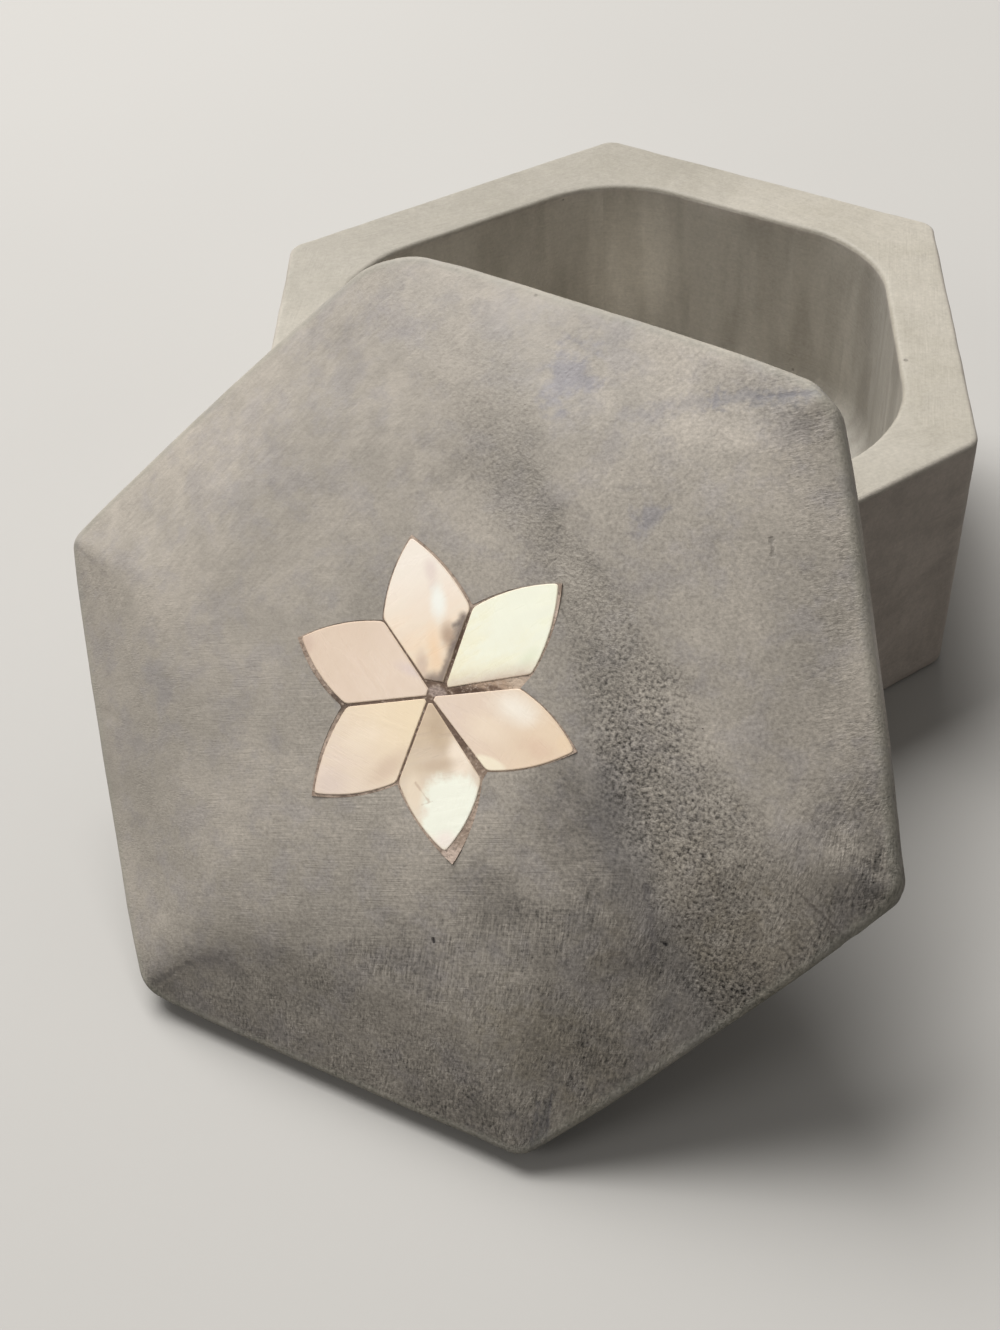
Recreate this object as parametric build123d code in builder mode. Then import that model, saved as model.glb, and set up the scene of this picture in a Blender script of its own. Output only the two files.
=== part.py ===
from build123d import *
from math import asin, atan2, cos, degrees, hypot, radians, sin
import os

# Hexagonal soapstone trinket box with a six-petal shell flower let into its lid.
# The open box stands on the table. The lid leans on the rim of the box's front-left side,
# with its own foot edge on the table. All sizes are in millimetres, and angles in degrees.
# The origin is the centre of the box's underside, and +Z is up.

# Outline that the box and the lid share, cut by hand, so no corner is exactly in place
across_corners = 75.0
first_corner_angle = 30.0
corner_out = [0.3, 0.4, -0.2, 1.2, 0.0, -1.6]
corner_round_about = [-1.2, -1.8, 0.6, 0.2, 2.0, 0.2]

# Box
box_height = 27.0
rim_width = 5.9
box_floor = 6.0
cavity_forward = 1.1
box_corner_radius = 1.8
cavity_corner_radius = 12.0
cavity_bottom_radius = 4.0
box_arris_radius = 0.7
cavity_arris_radius = 0.5

# Lid: its sides bow out a little, and its corners were rounded by hand, each to its own radius
lid_side_bow = 0.5
lid_edge = 2.8
dome_rise = 5.0
dome_flat_reach = 10.0
crown_flat = 0.2
lid_corner_radius = [2.0, 3.5, 6.0, 1.5, 2.5, 1.5]
lid_arris_radius = 0.7
plug_depth = 5.6
plug_clearance = 0.5
plug_arris_radius = 0.6

# How the lid leans: the box side that it leans on, and its own side that stands on the table,
# each found by the direction that it faces
lean_side_angle = 240.0
foot_side_angle = 300.0
lean_contact_rise = 11.6
lean_sideways = 9.0
lean_gap = 0.1

# Inlaid flower, hand cut: one value for each petal, turned from the lid's foot edge
petal_tip_angle = [56, 117, 178, 235, 293, 357]
petal_tip_reach = [12.9, 12.0, 12.3, 12.8, 12.7, 12.1]
petal_joint_angle = [23, 82, 146, 205, 264, 320]
petal_joint_reach = [7.5, 6.9, 7.1, 7.5, 7.4, 7.6]
petal_swell = 0.45
petal_thickness = 1.6
cement_joint = 0.35
cement_margin = 0.25
cement_bed = 0.4

# Worked out: the outline's corners, anticlockwise from above
corner_count = len(corner_out)
corners = []
for i in range(corner_count):
    corner_angle = radians(first_corner_angle + i * 360 / corner_count + corner_round_about[i])
    reach = across_corners / 2 + corner_out[i]
    corners.append(Vector(reach * cos(corner_angle), reach * sin(corner_angle)))


def side_ends(side):
    """Both corners of one side, in order round the outline."""
    return corners[side % corner_count], corners[(side + 1) % corner_count]


def side_normal(side):
    """Outward normal of one side, in the outline's own plane."""
    start, end = side_ends(side)
    run = (end - start).normalized()
    return Vector(run.Y, -run.X)


def side_facing(angle):
    """Number of the side whose middle is nearest to one direction from the centre."""
    return round((angle - first_corner_angle) * corner_count / 360 - 0.5)


# Worked out: the lid's corners, drawn in so that its sides bow out just to the shared outline
lid_corners = []
for i in range(corner_count):
    before, after = side_normal(i - 1), side_normal(i)
    drawn_in = (before + after) * lid_side_bow / (1 + before.dot(after))
    lid_corners.append(corners[i] - drawn_in)

# Worked out: the plane that the lid's seat lies in. The lid's foot edge is level, and runs
# along the rim edge that the lid leans on. Its rounded foot arris just touches the table.
lean_side = side_facing(lean_side_angle)
foot_side = side_facing(foot_side_angle)
lean_out = side_normal(lean_side)
lean_along = Vector(-lean_out.Y, lean_out.X)
rim_start, rim_end = side_ends(lean_side)
foot_normal = side_normal(foot_side)
foot_depth = side_ends(foot_side)[0].dot(foot_normal)
contact_reach = foot_depth + lean_contact_rise
contact_drop = plug_depth + lean_gap
reach_from_arris = contact_reach - lid_arris_radius
drop_from_arris = contact_drop + lid_arris_radius
slope = atan2(drop_from_arris, reach_from_arris)
slope += asin((box_height - lid_arris_radius) / hypot(reach_from_arris, drop_from_arris))
lid_normal = lean_out * sin(slope) + Vector(0, 0, cos(slope))
lid_uphill = Vector(0, 0, sin(slope)) - lean_out * cos(slope)
contact_point = (rim_start + rim_end) / 2 + Vector(0, 0, box_height)
lid_centre = contact_point - lid_uphill * lean_contact_rise + lid_normal * contact_drop
lid_centre += lean_along * lean_sideways
foot_turn = atan2(foot_normal.X, -foot_normal.Y)
lid_x = lean_along * cos(foot_turn) - lid_uphill * sin(foot_turn)
seat_plane = Plane(origin=lid_centre, x_dir=lid_x, z_dir=lid_normal)
flower_plane = Plane(origin=lid_centre, x_dir=lean_along, z_dir=lid_normal)
print("The lid leans at", round(degrees(slope), 1), "degrees")


def cavity_plane(plane):
    """The plane that the cavity's outline is drawn in, set forward from the outer outline's."""
    return Plane(origin=plane.from_local_coords(Vector(0, -cavity_forward)),
                 x_dir=plane.x_dir, z_dir=plane.z_dir)


# Box body: six upright walls round a rounded hexagonal cavity
with BuildPart() as box_body:
    with BuildSketch(Plane.XY):
        Polygon(*corners)
        fillet(vertices(), box_corner_radius)
    extrude(amount=box_height)
    fillet(faces().filter_by(Plane.XY).edges(), box_arris_radius)
    with BuildSketch(cavity_plane(Plane.XY.offset(box_floor))):
        Polygon(*corners)
        offset(amount=-rim_width, kind=Kind.INTERSECTION)
        fillet(vertices(), cavity_corner_radius)
    extrude(amount=box_height - box_floor, mode=Mode.SUBTRACT)
    cavity_floor = faces().filter_by(Plane.XY).sort_by(Axis.Z)[1]
    fillet(cavity_floor.edges(), cavity_bottom_radius)
    rim = faces().filter_by(Plane.XY).sort_by(Axis.Z)[-1]
    fillet(rim.inner_wires().edges(), cavity_arris_radius)
box_body.part.label = "box_body"

# What is ground off above the lid's low dome: one arch rises from each side to a flat middle,
# so the arches meet in hips that fade out before they reach the flower
crown = lid_edge + dome_rise
with BuildPart() as ground_off:
    for side in range(corner_count):
        outward = side_normal(side)
        arch_span = side_ends(side)[0].dot(outward) - dome_flat_reach
        arch_radius = (arch_span ** 2 + dome_rise ** 2) / (2 * dome_rise)
        arch_x = seat_plane.x_dir * outward.X + seat_plane.y_dir * outward.Y
        arch_plane = Plane(origin=lid_centre, x_dir=arch_x, z_dir=arch_x.cross(lid_normal))
        with BuildSketch(arch_plane):
            with Locations((dome_flat_reach, crown)):
                Rectangle(across_corners, 2 * crown, align=(Align.MIN, Align.CENTER))
            with Locations((dome_flat_reach, crown - arch_radius)):
                Circle(arch_radius, mode=Mode.SUBTRACT)
        extrude(amount=across_corners, both=True)

# The flower's pieces stand on a cement bed, and are ground flush with the lid
flower_top = crown - crown_flat
petal_floor = flower_top - petal_thickness
pocket_floor = petal_floor - cement_bed


def polar(reach, angle):
    """A point in the flower's plane."""
    return reach * cos(radians(angle)), reach * sin(radians(angle))


petal_count = len(petal_tip_angle)
tips = []
joints = []
pocket_tips = []
pocket_joints = []
for i in range(petal_count):
    tips.append(polar(petal_tip_reach[i], petal_tip_angle[i]))
    joints.append(polar(petal_joint_reach[i], petal_joint_angle[i]))
    pocket_tips.append(polar(petal_tip_reach[i] + 2 * cement_margin, petal_tip_angle[i]))
    pocket_joints.append(polar(petal_joint_reach[i] + cement_margin, petal_joint_angle[i]))

# Petals: each is a wedge at the centre and swells to a pointed tip
petals = []
for i in range(petal_count):
    after = (i + 1) % petal_count
    with BuildPart() as petal:
        with BuildSketch(flower_plane.offset(petal_floor)):
            with BuildLine():
                SagittaArc(joints[i], tips[i], -petal_swell)
                SagittaArc(tips[i], joints[after], -petal_swell)
                Polyline(joints[after], (0, 0), joints[i])
            make_face()
            for joint_angle in (petal_joint_angle[i], petal_joint_angle[after]):
                with Locations(Location((0, 0, 0), (0, 0, joint_angle))):
                    Rectangle(across_corners / 2, cement_joint, align=(Align.MIN, Align.CENTER),
                              mode=Mode.SUBTRACT)
        extrude(amount=petal_thickness)
        add(ground_off.part, mode=Mode.SUBTRACT)
    petal.part.label = "petal_" + str(i + 1)
    petals.append(petal)

# The pocket: the flower's whole outline, with a margin of cement that doubles at the tips
with BuildPart() as pocket:
    with BuildSketch(flower_plane.offset(pocket_floor)):
        with BuildLine():
            for i in range(petal_count):
                after = (i + 1) % petal_count
                SagittaArc(pocket_joints[i], pocket_tips[i], -petal_swell)
                SagittaArc(pocket_tips[i], pocket_joints[after], -petal_swell)
        make_face()
    extrude(amount=flower_top - pocket_floor)

# Inlay cement: the bed under the petals, and the dark joints between and round them
with BuildPart() as inlay_cement:
    add(pocket.part)
    for petal in petals:
        add(petal.part, mode=Mode.SUBTRACT)
    add(ground_off.part, mode=Mode.SUBTRACT)
inlay_cement.part.label = "inlay_cement"

# Lid: the domed cover, the plug that finds the cavity, and the flower's pocket
with BuildPart() as lid:
    with BuildSketch(seat_plane):
        with BuildLine():
            for i in range(corner_count):
                SagittaArc(lid_corners[i], lid_corners[(i + 1) % corner_count], -lid_side_bow)
        make_face()
        for i in range(corner_count):
            fillet(vertices().sort_by_distance(lid_corners[i])[0], lid_corner_radius[i])
    extrude(amount=flower_top)
    add(ground_off.part, mode=Mode.SUBTRACT)
    seat = faces().sort_by(Axis(lid_centre, lid_normal))[0]
    fillet(seat.edges(), lid_arris_radius)
    with BuildSketch(cavity_plane(seat_plane)):
        Polygon(*corners)
        offset(amount=-rim_width - plug_clearance, kind=Kind.INTERSECTION)
        fillet(vertices(), cavity_corner_radius - plug_clearance)
    extrude(amount=-plug_depth)
    plug_face = faces().sort_by(Axis(lid_centre, lid_normal))[0]
    fillet(plug_face.edges(), plug_arris_radius)
    add(pocket.part, mode=Mode.SUBTRACT)
lid.part.label = "lid"

os.makedirs("parts", exist_ok=True)
for piece in [box_body, lid, inlay_cement] + petals:
    export_step(piece.part, "parts/" + piece.part.label + ".step")
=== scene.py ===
"""Soapstone trinket box: an open hexagonal box, and its domed lid with a six-petal shell flower.

The lid leans on the rim of the box. Shapes are made in millimetres and turned into metres when
they are placed. The lid is made flat, in its own plan: x runs along its foot edge, y uphill and
z out of its domed face.
"""

import logging
from dataclasses import dataclass, field
from enum import Enum
from functools import cached_property
from math import asin, atan2, cos, exp, hypot, pi, radians, sin, sqrt, tan

import bmesh
import bpy
from mathutils import Matrix, Vector, noise


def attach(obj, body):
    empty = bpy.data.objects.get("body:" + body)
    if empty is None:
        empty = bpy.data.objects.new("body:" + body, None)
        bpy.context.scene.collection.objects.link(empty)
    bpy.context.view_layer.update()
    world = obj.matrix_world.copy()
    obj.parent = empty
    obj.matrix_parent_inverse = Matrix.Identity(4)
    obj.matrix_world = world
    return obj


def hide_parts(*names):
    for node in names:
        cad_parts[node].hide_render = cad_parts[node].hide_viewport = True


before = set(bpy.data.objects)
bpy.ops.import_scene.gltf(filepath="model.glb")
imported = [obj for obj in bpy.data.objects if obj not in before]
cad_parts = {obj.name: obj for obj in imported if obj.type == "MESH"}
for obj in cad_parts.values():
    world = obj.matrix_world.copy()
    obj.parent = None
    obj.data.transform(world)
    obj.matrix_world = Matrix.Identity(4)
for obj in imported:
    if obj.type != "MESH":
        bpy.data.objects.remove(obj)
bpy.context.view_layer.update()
log = logging.getLogger("trinket_box")

MM = 0.001
SIXTH = pi / 3
CORNER_CUT = tan(radians(30))
Tone = tuple[float, float, float]
Pair = tuple[float, float]
Points = tuple[Pair, ...]
Socket = bpy.types.NodeSocket
Sockets = bpy.types.bpy_prop_collection


class Body(Enum):
    """CAD bodies that the pieces ride on."""

    BOX = "box"
    COVER = "cover"


class Slot(Enum):
    """Material slots of the record."""

    BOX_STONE = "box_stone"
    LID_STONE = "lid_stone"
    SHELL = "shell"
    CEMENT = "cement"


class Blend(Enum):
    """Ways to lay one colour over another."""

    MIX = "MIX"
    MULTIPLY = "MULTIPLY"


def linear(tone: Tone) -> tuple[float, float, float, float]:
    """Turn a screen colour into the linear colour that a shader takes.

    Args:
        tone: Red, green and blue from 0 to 255.

    Returns:
        The linear colour with an alpha of 1.
    """
    parts = []
    for value in tone:
        share = value / 255
        parts.append(share / 12.92 if share <= 0.04045 else ((share + 0.055) / 1.055) ** 2.4)
    return parts[0], parts[1], parts[2], 1.0


def eased(value: float, low: float, high: float) -> float:
    """Rise smoothly from 0 at one value to 1 at another.

    Args:
        value: The value to place.
        low: Where the rise starts.
        high: Where it ends.

    Returns:
        A share from 0 to 1.
    """
    share = min(1.0, max(0.0, (value - low) / (high - low)))
    return share * share * (3 - 2 * share)


def polar(reach: float, angle: float) -> Vector:
    """A point in plan, from its reach in millimetres and its angle in degrees."""
    return Vector((reach * cos(radians(angle)), reach * sin(radians(angle)), 0.0))


def flat(spot: Vector) -> Vector:
    """A place brought down to its plan."""
    return Vector((spot.x, spot.y, 0.0))


def waves(spot: Vector, parts: Points) -> float:
    """Height of the small waves of hand work at one place.

    Args:
        spot: The place.
        parts: Height and length of each set of waves.

    Returns:
        The height, above or below the mean.
    """
    return sum(height * noise.noise(spot / length) for height, length in parts)


def frozen(name: str, mesh: bmesh.types.BMesh) -> bpy.types.Mesh:
    """Turn a finished bmesh into mesh data.

    Args:
        name: Name of the data.
        mesh: The bmesh, which is freed.

    Returns:
        The mesh data.
    """
    data = bpy.data.meshes.new(name)
    mesh.to_mesh(data)
    mesh.free()
    return data


def stand(name: str, data: bpy.types.ID) -> bpy.types.Object:
    """Put an object with some data into the scene.

    Args:
        name: Name of the object.
        data: Its mesh, lamp or camera.

    Returns:
        The object.
    """
    made = bpy.data.objects.new(name, data)
    bpy.context.scene.collection.objects.link(made)
    return made


# Shader node groups


class Bench:
    """Places nodes in one tree and links them."""

    def __init__(self, tree: bpy.types.NodeTree) -> None:
        """Keep the tree that the nodes go into."""
        self.tree = tree

    @classmethod
    def clear(cls, owner: bpy.types.ID) -> "Bench":
        """The bench of a material or a world, with its first nodes taken away."""
        owner.use_nodes = True
        owner.node_tree.nodes.clear()
        return cls(owner.node_tree)

    def add(self, kind: str, inputs: dict | None = None, **settings: object) -> bpy.types.Node:
        """Place one node.

        Args:
            kind: The node's type, without its ShaderNode prefix.
            inputs: Sockets by name or number, each with a value or a socket to link.
            **settings: The node's own properties.

        Returns:
            The new node.
        """
        node = self.tree.nodes.new(kind if kind.startswith("NodeGroup") else "ShaderNode" + kind)
        for name, value in settings.items():
            setattr(node, name, value)
        for name, value in (inputs or {}).items():
            self.feed(node.inputs[name], value)
        return node

    def feed(self, socket: Socket, value: object) -> None:
        """Link a socket, or set its value.

        Args:
            socket: The input socket.
            value: Another node's output socket, or a plain value.
        """
        if isinstance(value, Socket):
            self.tree.links.new(value, socket)
        else:
            socket.default_value = value

    def math(self, operation: str, first: object, second: object = 0.0, third: object = 0.0) -> Socket:
        """One sum on two or three numbers.

        Args:
            operation: Name of the sum.
            first: First value or socket.
            second: Second value or socket.
            third: Third value or socket.

        Returns:
            The result's socket.
        """
        node = self.add("Math", {0: first, 1: second, 2: third}, operation=operation)
        return node.outputs[0]

    def times(self, first: object, second: object) -> Socket:
        """The product of two values or sockets."""
        return self.math("MULTIPLY", first, second)

    def vector(self, operation: str, first: object, second: object = (0, 0, 0)) -> bpy.types.Node:
        """One sum on two vectors.

        Args:
            operation: Name of the sum.
            first: First vector or socket.
            second: Second vector or socket.

        Returns:
            The node, because its result may be a vector or a number.
        """
        return self.add("VectorMath", {0: first, 1: second}, operation=operation)

    def noise(self, place: object, size: object, detail: float = 3.0, rough: float = 0.55,
              bend: float = 0.0) -> Socket:
        """Soft noise whose blots have one size.

        Args:
            place: Coordinates.
            size: Size of a blot, in the coordinates' unit, as a value or a socket.
            detail: Number of finer layers.
            rough: Strength of the finer layers.
            bend: Distortion of the blots.

        Returns:
            The noise, about 0.5 on average.
        """
        scale = self.math("DIVIDE", 1.0, size) if isinstance(size, Socket) else 1 / size
        node = self.add("TexNoise", {"Vector": place, "Scale": scale, "Detail": detail,
                                     "Roughness": rough, "Distortion": bend})
        return node.outputs[0]

    def ease(self, value: object, low: object, high: object, to_low: object = 0.0,
             to_high: object = 1.0) -> Socket:
        """Smooth step between two values.

        Args:
            value: What is placed.
            low: Where the step starts.
            high: Where the step ends.
            to_low: Result at the start.
            to_high: Result at the end.

        Returns:
            The result's socket.
        """
        node = self.add("MapRange", {0: value, 1: low, 2: high, 3: to_low, 4: to_high},
                        interpolation_type="SMOOTHSTEP")
        return node.outputs[0]

    def signed(self, noise: object) -> Socket:
        """Spread a noise so that it lies about 0, and most of it between -1 and 1."""
        return self.math("MULTIPLY_ADD", noise, 8.0, -4.0)

    def total(self, terms: list[tuple[object, object]], base: float = 0.0) -> Socket:
        """Add up products to a base value.

        Args:
            terms: Two values or sockets for each product.
            base: What they are added to.

        Returns:
            The sum's socket.
        """
        result = base
        for first, second in terms:
            result = self.math("MULTIPLY_ADD", first, second, result)
        return result

    def towards(self, place: object, angle: float, low: float, high: float) -> Socket:
        """Mask that rises towards one side of a plan.

        Args:
            place: Coordinates.
            angle: Direction of that side, in degrees.
            low: Distance from the centre at which the mask starts.
            high: Distance at which it is whole.

        Returns:
            The mask's socket.
        """
        out = self.vector("DOT_PRODUCT", place, tuple(polar(1.0, angle))).outputs[1]
        return self.ease(out, low, high)

    def lay(self, share: object, under: object, over: object, how: Blend = Blend.MIX) -> Socket:
        """Lay one colour over another.

        Args:
            share: How much of the upper colour shows.
            under: Lower colour, as a tone or a socket.
            over: Upper colour, as a tone or a socket.
            how: The way to lay it.

        Returns:
            The colour's socket.
        """
        colours = [c if isinstance(c, Socket) else linear(c) for c in (under, over)]
        node = self.add("Mix", data_type="RGBA", blend_type=how.value)
        self.feed(node.inputs[0], share)
        self.feed(node.inputs[6], colours[0])
        self.feed(node.inputs[7], colours[1])
        return node.outputs[2]

    def shade(self, colour: object, gain: object) -> Socket:
        """A colour made lighter or darker by a gain."""
        return self.lay(1.0, colour, gain, Blend.MULTIPLY)

    def attribute(self, name: str) -> Socket:
        """A value that the mesh holds."""
        return self.add("Attribute", attribute_name=name).outputs["Fac"]

    def place(self, effect: "Effect", plan: object, inputs: dict | None = None) -> Sockets:
        """Place a shared effect with its own values.

        Args:
            effect: The effect whose group is used.
            plan: Coordinates.
            inputs: Its other inputs by name.

        Returns:
            The group node's outputs.
        """
        node = self.add("Group")
        node.node_tree = effect.tree()
        for name, value in {"Vector": plan, **(inputs or {})}.items():
            self.feed(node.inputs[name], value)
        return node.outputs

    def patch(self, plan: object, patch: "Patch | Shade", waver: object) -> Socket:
        """Mask of one patch or shade.

        Args:
            plan: Coordinates in millimetres.
            patch: Where it lies, and how soft and ragged it is.
            waver: Noise that makes its border ragged.

        Returns:
            The mask's socket.
        """
        return self.place(SoftPatch(), plan, {
            "Centre": (*patch.centre, 0), "Softness": patch.softness, "Ragged": patch.ragged,
            "Stretch": (1 / patch.size[0], 1 / patch.size[1], 0), "Waver": waver})["Mask"]


class Effect:
    """A shader node group that several finishes share, built once."""

    name = ""
    inputs: dict[str, float | Tone] = {}
    outputs: tuple[str, ...] = ()

    def tree(self) -> bpy.types.NodeTree:
        """The group, made when the first finish asks for it."""
        found = bpy.data.node_groups.get(self.name)
        if found:
            return found
        tree = bpy.data.node_groups.new(self.name, "ShaderNodeTree")
        for label, value in {"Vector": (0, 0, 0), **self.inputs}.items():
            kind = "Vector" if isinstance(value, tuple) else "Float"
            socket = tree.interface.new_socket(label, in_out="INPUT", socket_type="NodeSocket" + kind)
            socket.default_value = value
        for label in self.outputs:
            tree.interface.new_socket(label, in_out="OUTPUT", socket_type="NodeSocketFloat")
        bench = Bench(tree)
        results = self.wire(bench, bench.add("NodeGroupInput").outputs)
        sink = bench.add("NodeGroupOutput")
        for label, result in results.items():
            bench.feed(sink.inputs[label], result)
        return tree

    def wire(self, bench: Bench, given: Sockets) -> dict:
        """Place the group's nodes.

        Args:
            bench: Where the nodes go.
            given: The group's inputs.

        Returns:
            Result sockets by output name.
        """
        raise NotImplementedError


class StoneGrain(Effect):
    """Clouds and grains of a soft stone."""

    name = "Stone grain"
    inputs = {"Cloud Size": 12.0, "Grain Size": 0.3}
    outputs = ("Clouds", "Grains", "Height")

    def wire(self, bench: Bench, given: Sockets) -> dict:
        """Clouds run from 0 to 1. Grains lie about 0, and most of them between -1 and 1."""
        clouds = bench.noise(given["Vector"], given["Cloud Size"], 6.0, 0.62, 0.4)
        grains = bench.noise(given["Vector"], given["Grain Size"], 3.0, 0.6)
        return {"Clouds": bench.ease(clouds, 0.34, 0.66), "Grains": bench.signed(grains),
                "Height": grains}


class SandingMarks(Effect):
    """Fine parallel strokes of a sanding block, lighter and darker than the stone."""

    name = "Sanding marks"
    inputs = {"Turn": 0.0, "Length": 4.0, "Width": 0.1}
    outputs = ("Marks", "Height")

    def wire(self, bench: Bench, given: Sockets) -> dict:
        """Noise is turned and drawn out along the strokes, and a second noise breaks them up."""
        back = bench.times(given["Turn"], -1.0)
        turned = bench.add("VectorRotate", {"Vector": given["Vector"], "Angle": back},
                           rotation_type="Z_AXIS").outputs[0]
        along = bench.math("DIVIDE", 1.0, given["Length"])
        across = bench.math("DIVIDE", 1.0, given["Width"])
        shape = bench.add("CombineXYZ", {0: along, 1: across, 2: across}).outputs[0]
        drawn = bench.noise(bench.vector("MULTIPLY", turned, shape).outputs[0], 1.0, 2.0, 0.6)
        gaps = bench.ease(bench.noise(given["Vector"], 2.2, 3.0), 0.35, 0.65, 0.35, 1.0)
        return {"Marks": bench.times(bench.signed(drawn), gaps), "Height": drawn}


class FacetRun(Effect):
    """Turns coordinates so that x runs out over the nearest side of a hexagon."""

    name = "Facet run"
    outputs = ("Out", "Along", "Side")

    def wire(self, bench: Bench, given: Sockets) -> dict:
        """The side is the nearest sixth of a turn."""
        split = bench.add("SeparateXYZ", {0: given["Vector"]}).outputs
        angle = bench.math("ARCTAN2", split[1], split[0])
        side = bench.math("ROUND", bench.math("DIVIDE", angle, SIXTH))
        turn = bench.times(side, SIXTH)
        cosine = bench.math("COSINE", turn)
        sine = bench.math("SINE", turn)
        out = bench.math("MULTIPLY_ADD", split[0], cosine, bench.times(split[1], sine))
        back = bench.times(split[0], sine)
        along = bench.math("SUBTRACT", bench.times(split[1], cosine), back)
        return {"Out": out, "Along": along, "Side": side}


class RubbedEdge(Effect):
    """Where handling has rubbed an edge, broken up by the grain."""

    name = "Rubbed edge"
    inputs = {"Rub": 0.0, "Break Size": 1.5}
    outputs = ("Mask",)

    def wire(self, bench: Bench, given: Sockets) -> dict:
        """Noise raises and lowers the rub before it is cut off."""
        rough = bench.noise(given["Vector"], given["Break Size"], 5.0, 0.65)
        raised = bench.math("MULTIPLY_ADD", bench.math("SUBTRACT", rough, 0.5), 1.2, given["Rub"])
        return {"Mask": bench.times(bench.ease(raised, 0.25, 0.9), given["Rub"])}


class Pits(Effect):
    """Small scattered pits."""

    name = "Pits"
    inputs = {"Spacing": 5.0, "Radius": 0.3, "Share": 0.4}
    outputs = ("Mask",)

    def wire(self, bench: Bench, given: Sockets) -> dict:
        """Each cell has a point, and only a share of the points is a pit."""
        scale = bench.math("DIVIDE", 1.0, given["Spacing"])
        cells = bench.add("TexVoronoi", {"Vector": given["Vector"], "Scale": scale}).outputs
        reach = bench.times(cells["Distance"], given["Spacing"])
        chance = bench.add("SeparateColor", {0: cells["Color"]}).outputs
        size = bench.times(given["Radius"], bench.math("ADD", chance[1], 0.4))
        hole = bench.ease(reach, size, bench.times(size, 0.5))
        return {"Mask": bench.times(hole, bench.math("LESS_THAN", chance[0], given["Share"]))}


class ScoreLine(Effect):
    """One straight line with a soft, ragged border, seen in plan."""

    name = "Score line"
    inputs = {"Start": (0, 0, 0), "End": (1, 0, 0), "Width": 0.2, "Ragged": 0.35, "Waver": 0.0}
    outputs = ("Mask",)

    def wire(self, bench: Bench, given: Sockets) -> dict:
        """The distance to the line between two points is cut off at its width."""
        plan = bench.vector("MULTIPLY", given["Vector"], (1, 1, 0)).outputs[0]
        run = bench.vector("SUBTRACT", given["End"], given["Start"]).outputs[0]
        lead = bench.vector("SUBTRACT", plan, given["Start"]).outputs[0]
        share = bench.math("DIVIDE", bench.vector("DOT_PRODUCT", lead, run).outputs[1],
                           bench.vector("DOT_PRODUCT", run, run).outputs[1])
        foot = bench.add("Clamp", {0: share}).outputs[0]
        near = bench.add("VectorMath", {0: run, 3: foot}, operation="SCALE").outputs[0]
        gap = bench.vector("DISTANCE", lead, near).outputs[1]
        sway = bench.times(given["Width"], given["Ragged"])
        ragged = bench.times(given["Waver"], sway)
        return {"Mask": bench.ease(bench.math("ADD", gap, ragged), given["Width"], 0.0)}


class SoftPatch(Effect):
    """A round patch with a ragged, soft border, seen in plan."""

    name = "Soft patch"
    inputs = {"Centre": (0, 0, 0), "Stretch": (1, 1, 0), "Softness": 0.5, "Ragged": 0.3, "Waver": 0.0}
    outputs = ("Mask",)

    def wire(self, bench: Bench, given: Sockets) -> dict:
        """The distance from the centre, divided by the patch's size, is cut off at 1."""
        lead = bench.vector("SUBTRACT", given["Vector"], given["Centre"]).outputs[0]
        shaped = bench.vector("MULTIPLY", lead, given["Stretch"]).outputs[0]
        reach = bench.vector("LENGTH", shaped).outputs[1]
        ragged = bench.math("MULTIPLY_ADD", given["Waver"], given["Ragged"], reach)
        low = bench.math("SUBTRACT", 1.0, given["Softness"])
        return {"Mask": bench.ease(ragged, 1.0, low)}


class NacreLayers(Effect):
    """Wavy growth layers of mother of pearl."""

    name = "Nacre layers"
    inputs = {"Turn": 0.0, "Layer Size": 2.0}
    outputs = ("Layers", "Drift", "Height")

    def wire(self, bench: Bench, given: Sockets) -> dict:
        """Two bent noises: thin layers, and a slow drift of tint."""
        turned = bench.add("VectorRotate", {"Vector": given["Vector"], "Angle": given["Turn"]},
                           rotation_type="Z_AXIS").outputs[0]
        drawn = bench.vector("MULTIPLY", turned, (0.22, 1.0, 1.0)).outputs[0]
        layers = bench.noise(drawn, given["Layer Size"], 3.0, 0.5, 0.8)
        drift = bench.noise(turned, bench.times(given["Layer Size"], 2.5), 2.0, 0.5)
        return {"Layers": bench.ease(layers, 0.35, 0.65), "Drift": bench.ease(drift, 0.36, 0.64),
                "Height": layers}


# Finishes


@dataclass(frozen=True)
class Patch:
    """A patch of another tone, placed in plan in millimetres."""

    centre: Pair
    size: Pair
    tone: Tone
    share: float = 1.0
    softness: float = 0.8
    ragged: float = 0.35


@dataclass(frozen=True)
class Shade:
    """A broad patch of painted light or shade, in which the stone's colour is made lighter or darker by a
    share.
    """

    centre: Pair
    size: Pair
    gain: float
    softness: float = 1.0
    ragged: float = 0.1


@dataclass(frozen=True)
class Score:
    """A straight line of another tone, placed in plan in millimetres."""

    start: Pair
    end: Pair
    width: float = 0.2
    share: float = 0.5
    tone: Tone = (66, 62, 60)
    depth: float = 1.0
    ragged: float = 0.35


@dataclass(frozen=True)
class Strokes:
    """Sanding strokes of one direction, which show towards one side of the lid."""

    turn: float
    length: float
    width: float
    strength: float
    side: float = 0.0
    start: float = -90.0
    full: float = -80.0


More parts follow.
